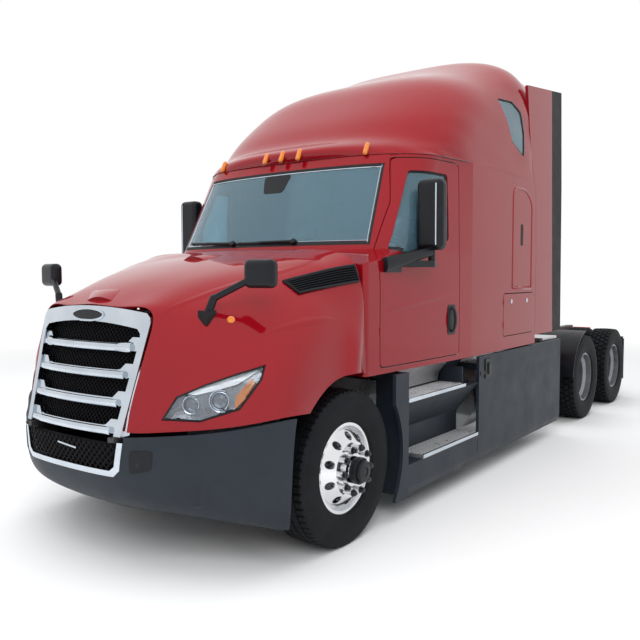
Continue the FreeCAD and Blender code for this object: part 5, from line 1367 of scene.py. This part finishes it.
def step_details():
    """Ringed holes and bright nosings on the treads, and the kick plate behind them."""
    rings, nosings = Form(), Form()
    for x0, y0, y1, z in TREADS:
        for i in range(int((TREAD_REACH - x0) / RING_PITCH_X) + 1):
            for j in range(int((y1 - y0) / RING_PITCH_Y) + 1):
                seat = Vector((x0 + i * RING_PITCH_X, y0 + (j + 0.5 * (i % 2)) * RING_PITCH_Y, z))
                rings.join(lathe(seat, Vector((0, 0, 1)), TREAD_RING, 10))
        nosings.join(block((1.204, y0 - 0.012, z - 0.026), (1.226, y1 + 0.012, z + 0.0035)))
    both(rings, "tread_rings", "aluminium", "chassis", "tread_plate")
    both(nosings, "tread_nosings", "chrome", "chassis", "aluminium", bevel=0.003)
    wells = block((0.985, -1.300, 0.420), (0.991, -1.035, 0.985))
    wells.join(block((0.900, -1.300, 0.862), (1.200, -1.290, 0.995)))
    both(wells, "step_well_panels", "dark_plastic", "chassis", bevel=0.001)
    skin = Skin("side_fairings", "cab_shell")
    corners = [skin.side(y, z)[0] for y, z in oblong(0.74, 0.872, 1.60, 1.040)]
    plate = laid_sheet(grid_on(skin, corners, 12, 3), lambda u, v: 0.004, 0.001)
    both(plate, "kick_plate", "tread_plate", "chassis")


def fairing_details():
    """The fairing's joint, its pressed crease and the latch in its pocket, whose black is partly painted
    shade.
    """
    skin = Skin("side_fairings")
    joint = [skin.side(1.885, 0.19 + 0.83 * k / 16) for k in range(17)]
    both(laid_strip(joint, flat_profile(0.010, 0.002)), "fairing_joint", "rubber", "chassis")
    crease = [skin.side(1.93 + 2.0 * k / 24, 0.905 - 0.01 * k / 24) for k in range(25)]
    both(laid_strip(crease, swell(0.05, 0.008)), "fairing_crease", "dark_plastic", "chassis", smooth=60.0)
    # The pocket is a black plate laid proud of the skin. Its black is partly black plastic and partly
    # painted shade standing in for the recessed slot.
    pocket = laid_plate(skin.side, oblong(2.02, 0.850, 2.16, 1.020), 0.02, -0.009, 0.010)
    both(pocket, "fairing_latch_pocket_shade", "black_plastic", "chassis")
    catch = [skin.side(LATCH_Y, 0.885 + 0.10 * k / 6) for k in range(7)]
    catch = laid_strip([(p + n * 0.009, n) for p, n in catch], flat_profile(0.05, 0.010))
    both(catch, "fairing_latch", "black_plastic", "chassis", bevel=0.002)


def tail_details():
    """Lens rings on the tail lamps and locks on the baggage doors."""
    skin = Skin("tail_lamps")
    rings, locks = Form(), Form()
    for x in TAIL_LENS_X:
        rings.join(lathe(*skin.hit((x, 8.0, TAIL_LENS_Z), (0, -1, 0)), TAIL_LENS, 32))
    both(rings, "tail_lamp_lenses", "red_lens", "chassis")
    door = Skin("baggage_door_left")
    for y in LOCK_Y:
        locks.join(lathe(*door.side(y, LOCK_Z), LOCK, 24))
    both(locks, "baggage_door_locks", "chrome", "baggage_{}_group")


# Inside the cab

SEAT_X = 0.55
# The seat's plinth, pan, back post and head pad's post: half width, front, rear, low and high
SEAT_BLOCKS = ((0.17, -1.66, -1.28, 1.112, 1.300), (0.22, -1.72, -1.20, 1.300, 1.380),
               (0.18, -1.235, -1.185, 1.380, 1.560), (0.035, -1.150, -1.120, 2.020, 2.120))
CLOTH_PRESSURE = 4.0
CLOTH_STEPS = 20
PAD_SHRINK = 0.010  # a pad starts this much smaller on each side, since it swells
PIPING_RADIUS = 0.0045


def blown_up(pad, voxel):
    """The pad's points and faces after it is remeshed and blown up as cloth."""
    crowned = pad.modifiers.new("voxels", "REMESH")
    crowned.mode = "VOXEL"
    crowned.voxel_size = voxel
    blown = pad.modifiers.new("blown", "CLOTH")
    blown.settings.use_pressure = True
    blown.settings.uniform_pressure_force = CLOTH_PRESSURE
    blown.settings.effector_weights.gravity = 0.0
    blown.point_cache.frame_end = CLOTH_STEPS
    for step in range(1, CLOTH_STEPS + 1):
        bpy.context.scene.frame_set(step)
    settled = pad.evaluated_get(bpy.context.evaluated_depsgraph_get()).to_mesh()
    spots = [v.co.copy() for v in settled.vertices]
    faces = [tuple(f.vertices) for f in settled.polygons]
    pad.modifiers.clear()
    bpy.context.scene.frame_set(1)
    return spots, faces


def piping(turn, flat_way, points, faces):
    """A cord sewn round a pad's middle."""
    tree = BVHTree.FromPolygons(points, faces)
    hits = []
    for across, up, _ in round_points(48):
        flat = Vector((across, up, 0)) if flat_way else Vector((across, 0, up))
        way = (turn.to_3x3() @ flat).normalized()
        place = tree.ray_cast(turn.translation + way * ASIDE, -way)[0]
        if place:
            hits.append((place - way * 0.002, way))
    return laid_strip(hits, round_profile(PIPING_RADIUS), True)


def cushion(name, centre, size, finish, tilt=0.0, voxel=0.012, cap=0.02):
    """A stuffed pad: a rounded block that is blown up as cloth, with a piping round its middle."""
    centre, half = Vector(centre), [s / 2 - PAD_SHRINK for s in size]
    pad = block([-h for h in half], half).object(name, finish, "chassis")
    mesh = pad.data
    made = bmesh.new()
    made.from_mesh(mesh)
    bmesh.ops.bevel(made, geom=made.edges[:], offset=min(half) * 0.55, segments=4, affect="EDGES",
                    profile=0.6)
    bmesh.ops.recalc_face_normals(made, faces=made.faces)
    made.to_mesh(mesh)
    made.free()
    turn = Matrix.Translation(centre) @ Matrix.Rotation(tilt, 4, "X")
    mesh.transform(turn)
    spots, faces = blown_up(pad, voxel)
    inner = turn.inverted()
    limit = [h + cap for h in half]
    kept = [turn @ Vector([max(-m, min(m, c)) for c, m in zip(inner @ spot, limit)]) for spot in spots]
    fresh = bpy.data.meshes.new(name)
    fresh.from_pydata([tuple(p) for p in kept], [], faces)
    fresh.materials.append(MATERIALS[finish])
    fresh.polygons.foreach_set("use_smooth", [True] * len(fresh.polygons))
    pad.data = fresh
    rounder = pad.modifiers.new("rounder", "SUBSURF")
    rounder.levels = 1
    rounder.render_levels = 1
    edge = piping(turn, size[2] < size[1], kept, faces)
    edge.object(f"{name}_piping", MATERIALS["rubber"], "chassis", finish)


def seats():
    """Two sprung seats: plinth, cushion, back and head pad."""
    for sign, side in SIDES:
        x = SEAT_X * sign
        base = Form()
        for half, front, rear, low, high in SEAT_BLOCKS:
            base.join(block((x - half, front, low), (x + half, rear, high)))
        plinth = base.object(f"seat_plinth_{side}", "dash_plastic", "chassis", bevel=0.012)
        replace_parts(plinth, "seats")
        cushion(f"seat_cushion_{side}", (x, -1.475, 1.460), (0.48, 0.54, 0.15), "seat_cloth")
        cushion(f"seat_back_{side}", (x, -1.165, 1.790), (0.46, 0.14, 0.58), "seat_cloth", -0.10)
        cushion(f"seat_head_pad_{side}", (x, -1.135, 2.165), (0.28, 0.10, 0.17), "seat_cloth", -0.05,
                0.010, 0.012)


def bunk():
    """The sleeper's bunk: a boxed base, a mattress and a pillow."""
    base = block((-1.14, -0.555, 1.112), (1.14, 0.245, 1.500))
    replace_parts(base.object("bunk_base", "dash_plastic", "chassis", bevel=0.02), "bunk")
    cushion("bunk_mattress", (0, -0.155, 1.585), (2.24, 0.78, 0.165), "bunk_cloth", voxel=0.02)
    cushion("bunk_pillow", (0.85, -0.155, 1.690), (0.42, 0.60, 0.075), "bunk_cloth", cap=0.012)


# Floor, light and camera


def seen_rays(tree):
    """1 for rays that show the background: to the camera, in gloss and through glass."""
    rays = tree.nodes.new("ShaderNodeLightPath").outputs
    seen = maths(tree, "MAXIMUM", rays["Is Camera Ray"], rays["Is Glossy Ray"])
    return maths(tree, "MAXIMUM", seen, rays["Is Transmission Ray"])


def shown_white(tree, factor, plain, white, end):
    """A plain shader that gives way to a white one by a factor."""
    mix = tree.nodes.new("ShaderNodeMixShader")
    for socket, source in zip(mix.inputs, (factor, plain, white)):
        tree.links.new(source, socket)
    tree.links.new(mix.outputs[0], tree.nodes[end].inputs["Surface"])


def floor():
    """A round pale floor that fades to white."""
    rings = [(0.0001, 0.0)] + [(1.5 * k, 0.0) for k in range(1, 41)]
    disc = lathe(Vector(), Vector((0, 0, 1)), rings, 48)
    mesh = bpy.data.meshes.new("studio_floor")
    mesh.from_pydata([tuple(p) for p in disc.points], [], disc.faces)
    pale, tree, shader = start_material("studio_floor", (0.86, 0.86, 0.86), 0.8)
    grain = place_group(tree, GRAIN, fine=60.0, broad=0.8)
    shade_between(tree, shader, grain.outputs["Mottle"], (0.85, 0.85, 0.85), (0.88, 0.88, 0.88))
    shader.inputs["Specular IOR Level"].default_value = 0.1
    place = tree.nodes.new("ShaderNodeNewGeometry").outputs["Position"]
    far = ramp(tree, vector_maths(tree, "LENGTH", place)["Value"], *FLOOR_FADE)
    white = tree.nodes.new("ShaderNodeEmission")
    white.inputs["Strength"].default_value = 1.0
    shown_white(tree, maths(tree, "MULTIPLY", far, seen_rays(tree)), shader.outputs[0], white.outputs[0],
                "Material Output")
    mesh.materials.append(pale)
    ground = bpy.data.objects.new("studio_floor", mesh)
    bpy.context.scene.collection.objects.link(ground)


def world():
    """A world that is white to the eye and softer as light."""
    sky = bpy.data.worlds.new("studio")
    bpy.context.scene.world = sky
    sky.use_nodes = True
    tree = sky.node_tree
    light = tree.nodes["Background"]
    white = tree.nodes.new("ShaderNodeBackground")
    for node, colour, strength in ((light, SKY_COLOUR, WORLD_LIGHT), (white, (1.0, 1.0, 1.0), 1.0)):
        node.inputs["Color"].default_value = (*colour, 1.0)
        node.inputs["Strength"].default_value = strength
    shown_white(tree, seen_rays(tree), light.outputs[0], white.outputs[0], "World Output")


def soft_lamp(name, place, target, size, power):
    """A large oblong lamp, which leaves no bright patch in glass and metal."""
    data = bpy.data.lights.new(name, "AREA")
    data.shape = "RECTANGLE"
    data.size, data.size_y = size
    data.energy = power
    lamp = bpy.data.objects.new(name, data)
    lamp.location = place
    lamp.visible_glossy = False
    lamp.rotation_euler = (Vector(target) - Vector(place)).to_track_quat("-Z", "Y").to_euler()
    bpy.context.scene.collection.objects.link(lamp)


def camera():
    """The photograph's point of view."""
    data = bpy.data.cameras.new("camera")
    data.sensor_width = SENSOR_WIDTH
    data.lens = CAMERA_LENS
    data.clip_end = FAR_CLIP
    view = bpy.data.objects.new("camera", data)
    yaw, pitch, roll = CAMERA_TURN
    turned = Matrix.Rotation(yaw, 4, "Z") @ Matrix.Rotation(math.pi / 2 + pitch, 4, "X")
    view.matrix_world = Matrix.Translation(CAMERA_PLACE) @ turned @ Matrix.Rotation(roll, 4, "Z")
    bpy.context.scene.collection.objects.link(view)
    bpy.context.scene.camera = view


def studio():
    """The floor, the world, three soft lamps (place, target, size, watts) and the camera."""
    floor()
    world()
    soft_lamp("key", (8.0, -12.0, 10.0), (0.0, -1.5, 1.4), (12.0, 8.0), 1350.0)
    soft_lamp("overhead", (0.0, -1.0, 13.0), (0.0, 0.0, 0.0), (16.0, 20.0), 1900.0)
    soft_lamp("far_fill", (-10.0, -8.0, 6.0), (0.0, -1.0, 1.6), (8.0, 6.0), 350.0)
    camera()
    bpy.context.scene.view_settings.view_transform = "Standard"


for build in (dress_cad_nodes, tyres, wheel_fittings, grille, grille_bars, bumper_details,
              nose_badge, lower_strip, headlamps, grille_backing, window_trim, wipers,
              sensor_pod, hood_vents, hood_scoops, character_lines, door_handles, mirror_details,
              side_markers, sleeper_panel, step_details, fairing_details, tail_details, seats,
              bunk, studio):
    build()
